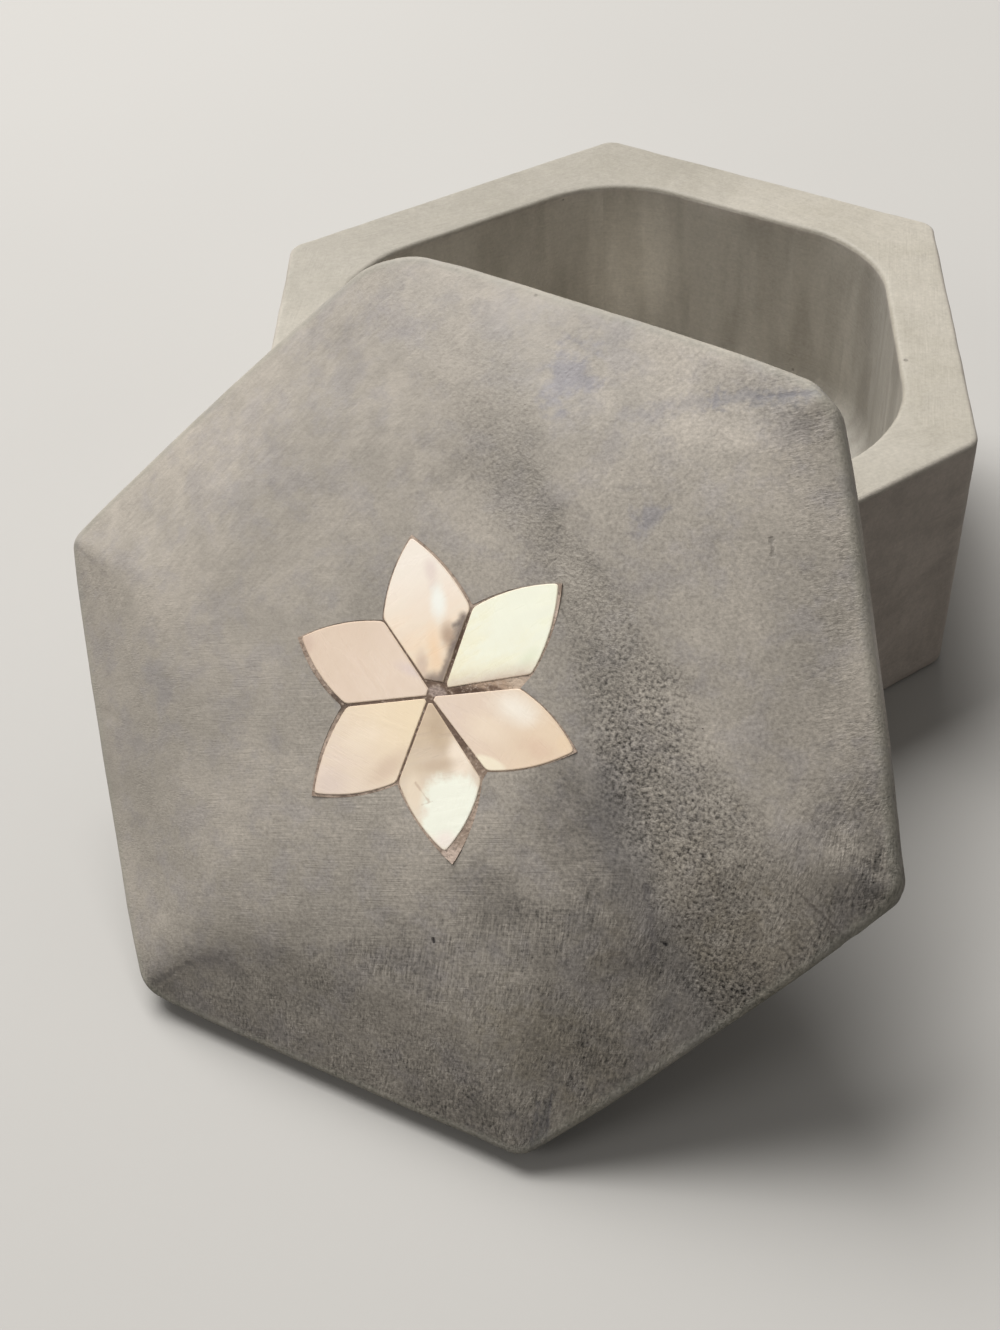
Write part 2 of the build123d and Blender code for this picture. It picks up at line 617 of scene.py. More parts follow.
class Finish:
    """What every finish shares: coordinates, patches, lines, rubbed edges, and the shader.

    Pits are a spacing, a radius, the share of places that have one, and how much of their tone
    shows. Wear is the size of the gaps in the rubbed edges, and how much of their tone shows.
    """

    bump_depth: float = 0.05
    pits: tuple[float, float, float, float] = (4.0, 0.2, 0.5, 0.5)
    wear: Pair = (1.2, 0.3)

    def material(self, name: str, place: Matrix) -> bpy.types.Material:
        """Make a material whose coordinates are a piece's own plan, in millimetres.

        Args:
            name: Name of the material.
            place: Where the plan lies, in millimetres.

        Returns:
            The material.
        """
        material = bpy.data.materials.new(name)
        bench = Bench.clear(material)
        back = place.inverted()
        coordinates = bench.add("TexCoord").outputs["Object"]
        plan = bench.add("Mapping", {"Vector": coordinates, "Location": back.to_translation(),
                                     "Rotation": back.to_euler("XYZ"),
                                     "Scale": (1 / MM, 1 / MM, 1 / MM)}, vector_type="POINT")
        shader, height = self.dress(bench, plan.outputs[0])
        bump = bench.add("Bump", {"Height": height, "Distance": self.bump_depth * MM, "Strength": 1.0})
        body = bench.add("BsdfPrincipled", {**shader, "Normal": bump.outputs[0]})
        bench.add("OutputMaterial", {"Surface": body.outputs[0]})
        return material

    def dress(self, bench: Bench, plan: Socket) -> tuple[dict, Socket]:
        """Work out what the surface looks like.

        Args:
            bench: The material's bench.
            plan: Coordinates in millimetres.

        Returns:
            The shader's inputs, and the height of the surface from 0 to 1.
        """
        raise NotImplementedError

    def patched(self, bench: Bench, plan: Socket, colour: Socket, patches: tuple[Patch, ...]) -> Socket:
        """Lay patches over a colour.

        Args:
            bench: The material's bench.
            plan: Coordinates in millimetres.
            colour: What is under the patches.
            patches: The patches.

        Returns:
            The new colour.
        """
        waver = bench.signed(bench.noise(plan, 1.6, 4.0, 0.6))
        for patch in patches:
            mask = bench.patch(plan, patch, waver)
            colour = bench.lay(bench.times(mask, patch.share), colour, patch.tone)
        return colour

    def scored(self, bench: Bench, plan: Socket, colour: Socket,
               scores: tuple[Score, ...]) -> tuple[Socket, object]:
        """Draw lines over a colour.

        Args:
            bench: The material's bench.
            plan: Coordinates in millimetres.
            colour: What is under the lines.
            scores: The lines.

        Returns:
            The new colour, and how deep the lines are cut.
        """
        dents = 0.0
        waver = bench.signed(bench.noise(plan, 0.7, 3.0, 0.6))
        for score in scores:
            mask = bench.place(ScoreLine(), plan, {
                "Start": (*score.start, 0), "End": (*score.end, 0), "Width": score.width,
                "Ragged": score.ragged, "Waver": waver})["Mask"]
            colour = bench.lay(bench.times(mask, score.share), colour, score.tone)
            dents = bench.math("MAXIMUM", dents, bench.times(mask, score.depth))
        return colour, dents

    def pitted(self, bench: Bench, plan: Socket, colour: Socket, tone: Tone) -> tuple[Socket, Socket]:
        """Scatter small pits over a colour.

        Args:
            bench: The material's bench.
            plan: Coordinates in millimetres.
            colour: What is under the pits.
            tone: Tone of the pits.

        Returns:
            The new colour, and the pits' mask.
        """
        spacing, radius, share, strength = self.pits
        mask = bench.place(Pits(), plan, {"Spacing": spacing, "Radius": radius, "Share": share})["Mask"]
        return bench.lay(bench.times(mask, strength), colour, tone), mask

    def rubbed(self, bench: Bench, plan: Socket, colour: Socket, tone: Tone) -> tuple[Socket, Socket]:
        """Lighten the edges that handling has rubbed.

        Args:
            bench: The material's bench.
            plan: Coordinates in millimetres.
            colour: What is under the rubbed edges.
            tone: Tone of the rubbed edges.

        Returns:
            The new colour, and the mask of the edges.
        """
        size, strength = self.wear
        rub = bench.attribute("rub")
        mask = bench.place(RubbedEdge(), plan, {"Rub": rub, "Break Size": size})["Mask"]
        return bench.lay(bench.times(mask, strength), colour, tone), mask


@dataclass(frozen=True)
class LidStoneFinish(Finish):
    """Sanded grey soapstone of the lid: clouded, with a coarse dark vein and soft strokes, and painted
    light and shade over its facets that darkens it towards the foot.
    """

    pale: Tone = (173, 164, 152)
    deep: Tone = (159, 151, 140)
    cool: Tone = (147, 142, 145)
    vein: Tone = (118, 112, 103)
    vein_border: Tone = (120, 117, 118)
    speck: Tone = (62, 55, 48)
    dust: Tone = (160, 158, 143)
    vein_extent: float = 40.0
    vein_upper: Points = (
        (-40, 40), (-12, 36), (2, 21.7), (6.5, 16.8), (14, 11.5), (19.5, 5.9), (26.3, 0), (32.5, -6),
        (40, -12))
    vein_lower: Points = (
        (-40, 34), (-12, 24), (-2, 16.5), (6, 9.4), (12.6, 1.7), (19.8, -7.8), (26.7, -17), (32, -26),
        (40, -38))
    strokes: tuple[Strokes, ...] = (
        Strokes(19.0, 3.0, 0.15, 0.02),
        Strokes(19.0, 4.5, 0.13, 0.06, -100.0, -2.0, 8.0),
        Strokes(98.0, 2.6, 0.17, 0.17, -59.0, 14.0, 19.0),
        Strokes(77.0, 2.6, 0.19, 0.11, -40.0, 17.0, 25.0),
        Strokes(28.0, 1.6, 0.2, 0.13, 25.0, 24.0, 32.0),
        Strokes(98.0, 5.0, 0.25, 0.12, -62.5, 27.0, 34.0),
        Strokes(60.0, 1.2, 0.35, 0.06, 120.0, 2.0, 16.0))
    patches: tuple[Patch, ...] = (
        Patch((2.2, 26.2), (2.6, 3.6), (128, 127, 140), 0.5),
        Patch((-13.0, 27.0), (3.6, 2.4), (148, 143, 149), 0.25),
        Patch((-15.3, 21.6), (2.0, 3.0), (146, 142, 147), 0.22),
        Patch((-21.0, 9.8), (3.0, 4.6), (148, 144, 147), 0.18),
        Patch((-24.0, -6.0), (4.0, 3.0), (146, 143, 147), 0.18),
        Patch((12.0, 17.6), (1.4, 1.8), (128, 126, 134), 0.5),
        Patch((21.0, -9.5), (2.0, 5.0), (112, 110, 114), 0.2),
        Patch((23.6, -17.0), (1.6, 3.0), (98, 99, 106), 0.3),
        Patch((17.3, -28.8), (0.55, 4.2), (86, 87, 94), 0.5),
        Patch((20.0, -27.0), (3.0, 1.8), (142, 132, 118), 0.3),
        Patch((-12.5, -26.4), (4.0, 1.4), (104, 99, 96), 0.35),
        Patch((28.5, -10.5), (5.0, 5.0), (134, 122, 102), 0.35),
        Patch((22.5, -9.0), (6.0, 8.0), (126, 114, 92), 0.3),
        Patch((16.0, -22.5), (7.0, 5.0), (150, 138, 114), 0.3))
    # Painted shade towards the foot edge: its direction, where it starts, where it is whole, and its gain.
    foot_painted_shade: tuple[float, float, float, float] = (-60.0, 12.0, 18.5, -0.22)
    # Painted light and shade: patches that make the lid's colour lighter or darker over its facets and
    # corners.
    painted_light_and_shade: tuple[Shade, ...] = (
        Shade((16.0, -13.0), (12.0, 9.0), -0.12),
        Shade((20.0, -23.0), (7.0, 9.0), -0.16),
        Shade((1.0, -31.5), (26.0, 8.0), -0.12),
        Shade((-17.0, -30.5), (5.0, 4.0), -0.15),
        Shade((-12.0, -24.5), (6.0, 4.0), 0.1),
        Shade((26.0, -9.5), (8.0, 5.0), 0.36),
        Shade((14.5, -4.5), (7.0, 7.5), -0.46),
        Shade((5.0, -19.5), (8.0, 4.5), -0.16),
        Shade((11.0, -29.5), (7.0, 5.0), -0.22),
        Shade((21.5, -22.0), (6.0, 5.0), -0.1),
        Shade((8.5, -12.5), (6.0, 3.5), -0.2),
        Shade((36.0, -3.5), (6.0, 8.0), -0.14),
        Shade((33.0, 3.5), (5.5, 5.5), -0.22),
        Shade((19.5, 21.5), (7.0, 6.5), 0.26),
        Shade((31.0, 15.5), (3.8, 8.0), 0.6),
        Shade((20.0, 12.5), (10.0, 7.0), 0.1),
        Shade((10.5, 9.5), (4.5, 3.5), 0.16),
        Shade((16.5, 28.8), (8.0, 3.6), -0.3),
        Shade((4.0, 30.0), (7.0, 3.5), -0.16),
        Shade((1.0, 23.5), (5.5, 3.5), 0.14),
        Shade((-18.0, 24.0), (6.0, 4.5), -0.16),
        Shade((-4.5, 16.5), (5.5, 4.0), -0.14),
        Shade((-28.5, 0.0), (4.0, 7.0), 0.14),
        Shade((-9.0, -12.0), (10.0, 8.0), 0.1),
        Shade((-12.0, 3.0), (9.0, 7.0), 0.06),
        Shade((1.0, 14.0), (8.0, 4.0), 0.06),
        Shade((27.0, -5.5), (7.5, 5.0), 0.34),
        Shade((22.5, -8.5), (4.5, 5.0), 0.34),
        Shade((17.5, -18.0), (3.0, 3.0), 0.14),
        Shade((35.0, -3.0), (3.5, 7.0), -0.16),
        Shade((30.0, 1.0), (3.5, 3.5), -0.1),
        Shade((13.0, 9.0), (3.0, 3.0), 0.16),
        Shade((6.0, 16.0), (2.6, 2.2), -0.16),
        Shade((20.5, 29.0), (3.5, 3.0), -0.16),
        Shade((7.5, 12.0), (3.0, 2.5), 0.32),
        Shade((1.5, 15.0), (3.5, 2.5), 0.12))
    scores: tuple[Score, ...] = (
        Score((20.4, 29.8), (13.6, 27.4), 0.9, 0.4, (112, 112, 120), 0.1),
        Score((21.0, 30.2), (16.6, 28.5), 0.3, 0.45, (100, 97, 102), 0.4),
        Score((13.6, 27.4), (7.6, 24.4), 1.1, 0.25, (126, 124, 134), 0.0),
        Score((37.0, -1.8), (33.4, -1.4), 0.3, 0.4, (84, 78, 73), 0.4),
        Score((33.4, -1.4), (29.6, 0.6), 0.4, 0.25, (98, 92, 86), 0.2),
        Score((34.4, -7.2), (30.6, -5.1), 0.22, 0.45, (78, 72, 67), 0.6),
        Score((16.9, -31.4), (16.6, -27.0), 0.3, 0.5, (70, 69, 76), 0.4),
        Score((17.8, -30.6), (17.4, -26.0), 0.2, 0.4, (84, 83, 90), 0.3),
        Score((-18.2, -30.8), (-14.6, -27.4), 0.4, 0.4, (88, 83, 80), 0.3),
        Score((-14.6, -27.4), (-10.6, -25.2), 0.7, 0.35, (94, 89, 86), 0.2),
        Score((-37.2, 1.8), (-32.5, 0.2), 0.3, 0.2, (118, 112, 108), 0.2),
        Score((21.0, 18.7), (21.5, 17.6), 0.25, 0.35),
        Score((20.3, -8.2), (22.2, -13.2), 0.5, 0.35, (88, 84, 86), 0.3),
        Score((22.6, -11.85), (22.7, -11.95), 0.27, 1.0, (34, 31, 30)),
        Score((5.8, -17.5), (5.9, -17.75), 0.2, 1.0, (52, 48, 47)))

    def band(self, bench: Bench, plan: Socket, edge: float = 2.4) -> tuple[Socket, Socket]:
        """Mask of the vein that crosses the lid between two curves, and of its border.

        Args:
            bench: The material's bench.
            plan: Coordinates in millimetres.
            edge: How far the vein takes to darken below its upper curve.

        Returns:
            The vein's mask, and the mask of the cooler border at its lower side.
        """
        whole = 2 * self.vein_extent
        bent = bench.add("TexNoise", {"Vector": plan, "Scale": 0.22, "Detail": 6.0}).outputs[1]
        shift = bench.vector("MULTIPLY", bench.vector("SUBTRACT", bent, (0.5, 0.5, 0.5)).outputs[0],
                             (5.0, 5.0, 0.0)).outputs[0]
        split = bench.add("SeparateXYZ", {0: bench.vector("ADD", plan, shift).outputs[0]}).outputs
        across = bench.ease(split[0], -self.vein_extent, self.vein_extent)
        across.node.interpolation_type = "LINEAR"
        borders = []
        for points in (self.vein_upper, self.vein_lower):
            curve = bench.add("FloatCurve", {"Value": across})
            line = curve.mapping.curves[0]
            shares = [[(value + self.vein_extent) / whole for value in point] for point in points]
            for share in shares[1:-1]:
                line.points.new(*share)
            line.points[0].location, line.points[-1].location = shares[0], shares[-1]
            curve.mapping.update()
            borders.append(bench.math("MULTIPLY_ADD", curve.outputs[0], whole, -self.vein_extent))
        upper = bench.ease(bench.math("SUBTRACT", borders[0], split[1]), -0.6, edge)
        above = bench.math("SUBTRACT", split[1], borders[1])
        vein = bench.times(upper, bench.ease(above, -2.5, 3.0))
        vein = bench.times(vein, bench.ease(above, 17.0, 5.0, 0.4, 1.0))
        border = bench.times(bench.ease(above, -6.5, -1.0), bench.ease(above, 4.0, 0.0))
        fade = bench.towards(plan, -50.0, -26.0, -6.0)
        vein = bench.times(vein, bench.total([(fade, 0.65)], 0.35))
        return vein, bench.times(border, bench.towards(plan, -40.0, 4.0, 16.0))

    def dress(self, bench: Bench, plan: Socket) -> tuple[dict, Socket]:
        """Work out what the surface looks like.

        Args:
            bench: The material's bench.
            plan: Coordinates in millimetres.

        Returns:
            The shader's inputs, and the height of the surface from 0 to 1.
        """
        grain = bench.place(StoneGrain(), plan, {"Cloud Size": 9.0, "Grain Size": 0.28})
        coarse = bench.place(StoneGrain(), plan, {"Cloud Size": 2.0, "Grain Size": 0.26})
        vein, border = self.band(bench, plan)
        low_vein = bench.times(vein, bench.towards(plan, -50.0, -3.0, 9.0))
        low_vein = bench.times(low_vein, bench.total([(coarse["Clouds"], 0.6)], 0.5))
        near = bench.towards(plan, -25.0, -22.0, 8.0)

        colour = bench.lay(grain["Clouds"], self.deep, self.pale)
        cool = bench.ease(bench.noise(plan, 3.6, 6.0, 0.68), 0.46, 0.64)
        colour = bench.lay(bench.times(cool, 0.28), colour, self.cool)
        colour = self.patched(bench, plan, colour, self.patches)
        colour = bench.lay(bench.times(border, 0.45), colour, self.vein_border)
        colour = bench.lay(bench.times(vein, 0.55), colour, self.vein)

        marks = []
        for stroke in self.strokes:
            drawn = bench.place(SandingMarks(), plan, {"Turn": radians(stroke.turn),
                                                       "Length": stroke.length, "Width": stroke.width})
            mask = bench.towards(plan, stroke.side, stroke.start, stroke.full)
            marks.append((drawn["Marks"], bench.times(mask, stroke.strength)))
        # Painted light and shade: the shade patches and the darkening towards the foot are gains that
        # lighten or darken the stone's colour.
        broad = bench.signed(bench.noise(plan, 4.0, 3.0))
        painted_gains = [(bench.patch(plan, shade, broad), shade.gain) for shade in self.painted_light_and_shade]
        foot_angle, foot_start, foot_full, foot_gain = self.foot_painted_shade
        painted_gains.append((bench.towards(plan, foot_angle, foot_start, foot_full), foot_gain))
        speckle = bench.total([(near, 0.06), (vein, 0.1), (low_vein, 0.34)], 0.01)
        fine = bench.total([(near, 0.09)], 0.03)
        mottle = bench.total([(coarse["Clouds"], 0.11)], -0.055)
        marks_sum = bench.total(marks)
        gain = bench.total([(grain["Grains"], fine), (coarse["Grains"], speckle), (marks_sum, 1.0),
                            (mottle, 1.0)], bench.total(painted_gains, 1.0))
        colour = bench.shade(colour, gain)
        specks = bench.ease(coarse["Grains"], -0.2, -1.3)
        specks = bench.times(specks, bench.total([(low_vein, 0.38), (vein, 0.1)]))
        colour = bench.lay(specks, colour, self.speck)
        colour, pits = self.pitted(bench, plan, colour, self.speck)
        colour, dents = self.scored(bench, plan, colour, self.scores)
        colour, _ = self.rubbed(bench, plan, colour, self.dust)

        height = bench.total([(grain["Height"], 0.5), (marks_sum, 1.1), (dents, -0.9),
                              (pits, -0.6), (bench.noise(plan, 2.6, 3.0), 0.8),
                              (bench.times(coarse["Grains"], vein), 0.2)])
        rough = bench.total([(grain["Clouds"], 0.1), (grain["Height"], 0.12)], 0.52)
        return {"Base Color": colour, "Roughness": rough, "Specular IOR Level": 0.42}, height


@dataclass(frozen=True)
class BoxStoneFinish(Finish):
    """Soapstone of the box: pale where the rim is sanded, greyer on the walls and in the cavity, with
    painted light and shade in the cavity.
    """

    pale: Tone = (178, 167, 157)
    deep: Tone = (150, 140, 131)
    rim_pale: Tone = (176, 169, 156)
    rim_deep: Tone = (168, 161, 147)
    hollow_pale: Tone = (192, 186, 175)
    hollow_deep: Tone = (174, 168, 157)
    speck: Tone = (82, 77, 70)
    dust: Tone = (192, 188, 174)
    bump_depth: float = 0.06
    pits: tuple[float, float, float, float] = (5.0, 0.22, 0.4, 0.5)
    wear: Pair = (1.4, 0.35)

    def dress(self, bench: Bench, plan: Socket) -> tuple[dict, Socket]:
        """Work out what the surface looks like.

        Args:
            bench: The material's bench.
            plan: Coordinates in millimetres.

        Returns:
            The shader's inputs, and the height of the surface from 0 to 1.
        """
        grain = bench.place(StoneGrain(), plan, {"Cloud Size": 9.0, "Grain Size": 0.32})
        coarse = bench.place(StoneGrain(), plan, {"Cloud Size": 2.6, "Grain Size": 0.7})
        facet = bench.place(FacetRun(), plan)
        split = bench.add("SeparateXYZ", {0: plan}).outputs
        runs = [bench.add("CombineXYZ", {0: facet["Along"], 1: rise, 2: facet["Side"]}).outputs[0]
                for rise in (split[2], facet["Out"])]
        wall_marks = bench.place(SandingMarks(), runs[0], {"Length": 4.0, "Width": 0.2})
        rim_marks = bench.place(SandingMarks(), runs[1], {"Turn": 0.15, "Length": 5.0, "Width": 0.2})
        gouges = bench.place(SandingMarks(), runs[0], {"Turn": pi / 2, "Length": 18.0, "Width": 3.2})
        rim = bench.attribute("rim")
        hollow = bench.attribute("hollow")

        walls = bench.lay(grain["Clouds"], self.deep, self.pale)
        rims = bench.lay(grain["Clouds"], self.rim_deep, self.rim_pale)
        streaks = bench.ease(gouges["Height"], 0.34, 0.66)
        hollows = bench.lay(streaks, self.hollow_deep, self.hollow_pale)
        # Painted light and shade in the cavity: darker towards its right, and a lighter patch over the
        # middle of its walls.
        across = bench.ease(split[0], -24.0, 27.0, 0.98, 0.84)
        across = bench.times(across, bench.ease(split[0], 24.5, 27.0, 1.0, 0.74))
        painted_light_pool = bench.place(SoftPatch(), plan, {"Centre": (3.0, 0, 17), "Softness": 1.0, "Ragged": 0.0,
                                               "Stretch": (1 / 8, 0, 1 / 14)})["Mask"]
        hollows = bench.shade(hollows, bench.total([(painted_light_pool, 0.5)], across))
        walls = bench.shade(walls, bench.ease(split[2], 22.0, 4.0, 1.08, 1.42))
        back = bench.ease(bench.towards(plan, 115.0, 6.0, 33.0), 0.0, 1.0, 0.97, 0.82)
        rims = bench.shade(rims, back)
        colour = bench.lay(rim, walls, rims)
        colour = bench.lay(hollow, colour, hollows)
        marks = bench.lay(rim, wall_marks["Marks"], rim_marks["Marks"])
        gain = bench.total([(grain["Grains"], 0.045), (coarse["Grains"], 0.025), (marks, 0.035),
                            (coarse["Clouds"], 0.04)], 0.98)
        colour = bench.shade(colour, gain)
        colour, pits = self.pitted(bench, plan, colour, self.speck)
        colour, _ = self.rubbed(bench, plan, colour, self.dust)

        height = bench.total([(grain["Height"], 0.5), (marks, 0.06), (pits, -0.8),
                              (bench.times(gouges["Height"], hollow), 1.6),
                              (bench.noise(plan, 3.0, 3.0), 0.8)])
        rough = bench.total([(grain["Clouds"], 0.12), (grain["Height"], 0.1)], 0.5)
        return {"Base Color": colour, "Roughness": rough, "Specular IOR Level": 0.4}, height


@dataclass(frozen=True)
class ShellFinish(Finish):
    """Polished mother of pearl of one petal. Its plan runs from the flower's centre to the tip."""

    root: Tone = (214, 194, 178)
    tip: Tone = (222, 204, 192)
    sheen: Tone = (232, 222, 196)
    rim: Tone = (228, 206, 184)
    pink: Tone = (240, 208, 188)
    speck: Tone = (150, 120, 96)
    turn: float = 0.4
    layers: float = 0.35
    flush: float = 0.2
    bump_depth: float = 0.012
    pits: tuple[float, float, float, float] = (1.6, 0.1, 0.3, 0.3)
    wear: Pair = (0.8, 0.4)
    patches: tuple[Patch, ...] = ()
    scores: tuple[Score, ...] = ()

    def dress(self, bench: Bench, plan: Socket) -> tuple[dict, Socket]:
        """Work out what the surface looks like.

        Args:
            bench: The material's bench.
            plan: Coordinates in millimetres.

        Returns:
            The shader's inputs, and the height of the surface from 0 to 1.
        """
        nacre = bench.place(NacreLayers(), plan, {"Turn": self.turn, "Layer Size": 1.1})
        out = bench.add("SeparateXYZ", {0: plan}).outputs[0]
        colour = bench.lay(bench.ease(out, 1.5, 11.0), self.root, self.tip)
        colour = bench.lay(bench.times(nacre["Layers"], self.layers), colour, self.sheen)
        colour = bench.lay(bench.times(nacre["Drift"], self.flush), colour, self.pink)
        colour = self.patched(bench, plan, colour, self.patches)
        hairs = bench.place(SandingMarks(), plan, {"Turn": self.turn + 1.1, "Length": 2.0,
                                                   "Width": 0.07})["Marks"]
        colour = bench.shade(colour, bench.total([(hairs, 0.007)], 1.0))
        colour, worn = self.rubbed(bench, plan, colour, self.rim)
        colour, dents = self.scored(bench, plan, colour, self.scores)
        colour, specks = self.pitted(bench, plan, colour, self.speck)

        height = bench.total([(nacre["Height"], 1.0), (specks, -0.5), (dents, -1.0),
                              (bench.noise(plan, 3.0, 2.0), 1.4), (hairs, 0.12)])
        rough = bench.total([(nacre["Layers"], 0.08), (worn, 0.25)], 0.26)
        shader = {"Base Color": colour, "Roughness": rough, "Specular IOR Level": 0.6,
                  "Coat Weight": 0.35, "Coat Roughness": 0.12}
        return shader, height


@dataclass(frozen=True)
class CementFinish(Finish):
    """Brown resin cement between the petals, with pale stone dust and broken shell in it."""

    deep: Tone = (146, 126, 110)
    pale: Tone = (190, 168, 150)
    joint: Tone = (104, 80, 62)
    dust: Tone = (214, 194, 176)
    speck: Tone = (72, 58, 48)
    bump_depth: float = 0.08
    patches: tuple[Patch, ...] = (
        Patch((4.5, 2.7), (4.0, 1.4), (192, 164, 140), 0.9, 0.5, 0.1),
        Patch((2.4, 1.0), (1.1, 0.42), (84, 60, 44), 0.9, 0.7, 0.1),
        Patch((3.7, 1.5), (1.1, 0.42), (88, 64, 46), 0.9, 0.7, 0.1),
        Patch((5.0, 2.05), (1.1, 0.42), (96, 70, 52), 0.8, 0.7, 0.1),
        Patch((6.4, 3.3), (1.5, 0.9), (206, 184, 162), 0.9),
        Patch((5.4, -4.0), (2.6, 1.6), (150, 128, 110), 0.8),
        Patch((5.6, -11.2), (1.8, 1.7), (210, 188, 172), 0.85),
        Patch((-8.4, -3.0), (2.6, 1.6), (84, 68, 56), 0.85),
        Patch((-3.6, -9.2), (3.6, 1.6), (92, 74, 60), 0.75),
        Patch((-0.4, -9.0), (0.8, 1.8), (120, 98, 80), 0.6),
        Patch((9.4, -6.2), (3.0, 1.2), (104, 80, 60), 0.7),
        Patch((0.8, 4.5), (0.9, 4.0), (84, 58, 40), 0.85),
        Patch((8.8, 10.0), (1.6, 2.4), (214, 192, 176), 0.85),
        Patch((0.4, 0.4), (0.9, 0.6), (176, 156, 146), 0.8, 0.5, 0.1))

    def dress(self, bench: Bench, plan: Socket) -> tuple[dict, Socket]:
        """Work out what the surface looks like.

        Args:
            bench: The material's bench.
            plan: Coordinates in millimetres.

        Returns:
            The shader's inputs, and the height of the surface from 0 to 1.
        """
        grain = bench.place(StoneGrain(), plan, {"Cloud Size": 2.0, "Grain Size": 0.3})
        colour = bench.lay(grain["Clouds"], self.deep, self.pale)
        flat = bench.vector("MULTIPLY", plan, (1, 1, 0)).outputs[0]
        inner = bench.ease(bench.vector("LENGTH", flat).outputs[1], 7.6, 6.8)
        colour = bench.lay(bench.times(inner, 0.85), colour, self.joint)
        colour = self.patched(bench, plan, colour, self.patches)
        light = bench.ease(grain["Grains"], 0.3, 1.4)
        dark = bench.ease(grain["Grains"], -0.5, -1.4)
        colour = bench.lay(bench.times(light, 0.45), colour, self.dust)
        colour = bench.lay(bench.times(dark, 0.5), colour, self.speck)
        rough = bench.total([(grain["Clouds"], 0.2)], 0.5)
        return {"Base Color": colour, "Roughness": rough}, grain["Height"]


# Shapes


@dataclass(frozen=True)
class Side:
    """One side of an outline: which way it faces, which way it runs, and where it lies."""

    normal: Vector
    run: Vector
    reach: float
    middle: float
    half: float


@dataclass(frozen=True)
class HandCutHexagon:
    """The outline that the box and the lid share, cut by hand, so no corner is exactly in place."""

    across_corners: float = 75.0
    first_corner_angle: float = 30.0
    corner_out: tuple[float, ...] = (0.3, 0.4, -0.2, 1.2, 0.0, -1.6)
    corner_round_about: tuple[float, ...] = (-1.2, -1.8, 0.6, 0.2, 2.0, 0.2)

    @cached_property
    def sides(self) -> list[Side]:
        """Facts of the six sides, in order round the outline."""
        found = []
        for number in range(6):
            start, end = self.ends(number)
            run = (end - start).normalized()
            found.append(Side(self.normal(number), run, self.reach(number),
                              (start + end).dot(run) / 2, (end - start).length / 2))
        return found

    def nearest(self, spot: Vector) -> int:
        """Number of the side that a place in plan belongs to."""
        return max(range(6), key=lambda i: self.sides[i].normal.dot(spot) / self.sides[i].reach)

    def corners(self) -> list[Vector]:
        """The six corners, anticlockwise from above."""
        found = []
        for i, (out, about) in enumerate(zip(self.corner_out, self.corner_round_about)):
            found.append(polar(self.across_corners / 2 + out, self.first_corner_angle + 60 * i + about))
        return found

    def ends(self, side: int) -> tuple[Vector, Vector]:
        """Both corners of one side, in order round the outline."""
        corners = self.corners()
        return corners[side % 6], corners[(side + 1) % 6]

    def normal(self, side: int) -> Vector:
        """Outward direction of one side."""
        start, end = self.ends(side)
        run = (end - start).normalized()
        return Vector((run.y, -run.x, 0.0))

    def reach(self, side: int) -> float:
        """Distance from the centre to one side."""
        return self.ends(side)[0].dot(self.normal(side))

    def inset(self, amount: float, forward: float = 0.0) -> list[Vector]:
        """Corners of the outline that lies inside this one.

        Args:
            amount: How far inside, in millimetres.
            forward: How far towards the front it is shifted.

        Returns:
            The six corners.
        """
        found = []
        for corner in range(6):
            first, second = self.normal(corner - 1), self.normal(corner)
            first_reach = self.reach(corner - 1) - amount
            second_reach = self.reach(corner) - amount
            scale = first.x * second.y - second.x * first.y
            found.append(Vector(((first_reach * second.y - second_reach * first.y) / scale,
                                 (first.x * second_reach - second.x * first_reach) / scale - forward,
                                 0.0)))
        return found

    def turned(self, angle: float) -> "HandCutHexagon":
        """The same outline, turned by an angle in degrees."""
        return HandCutHexagon(self.across_corners, self.first_corner_angle + angle, self.corner_out,
                              self.corner_round_about)


@dataclass(frozen=True)
class LeaningPlace:
    """Where the lid rests: its foot edge on the table, its underside against the rim."""

    outline: HandCutHexagon
    lean_side: int = 3
    foot_side: int = 4
    contact_rise: float = 11.6
    sideways: float = 9.0
    gap: float = 0.1
    plug_depth: float = 5.6
    foot_arris: float = 0.7
    box_height: float = 27.0

    def foot_turn(self) -> float:
        """Angle from the shared outline's plan to the lid's plan, in radians."""
        normal = self.outline.normal(self.foot_side)
        return atan2(normal.x, -normal.y)

    def matrix(self) -> Matrix:
        """From the lid's plan to the frame, in millimetres."""
        out = self.outline.normal(self.lean_side)
        along = Vector((-out.y, out.x, 0.0))
        start, end = self.outline.ends(self.lean_side)
        across = self.outline.reach(self.foot_side) + self.contact_rise - self.foot_arris
        drop = self.plug_depth + self.gap
        slope = atan2(drop + self.foot_arris, across)
        slope += asin((self.box_height - self.foot_arris) / hypot(across, drop + self.foot_arris))
        up = Vector((0.0, 0.0, 1.0))
        normal = out * sin(slope) + up * cos(slope)
        uphill = up * sin(slope) - out * cos(slope)
        centre = (start + end) / 2 + up * self.box_height - uphill * self.contact_rise
        centre += normal * drop + along * self.sideways
        turn = Matrix((along, uphill, normal)).transposed()
        return Matrix.Translation(centre) @ turn.to_4x4()


@dataclass
class Loop:
    """One closed ring of edges, and where it stands."""

    edges: list[bmesh.types.BMEdge]
    verts: list[bmesh.types.BMVert]
    centre: Vector
    reach: float
    inset: float
    height: float


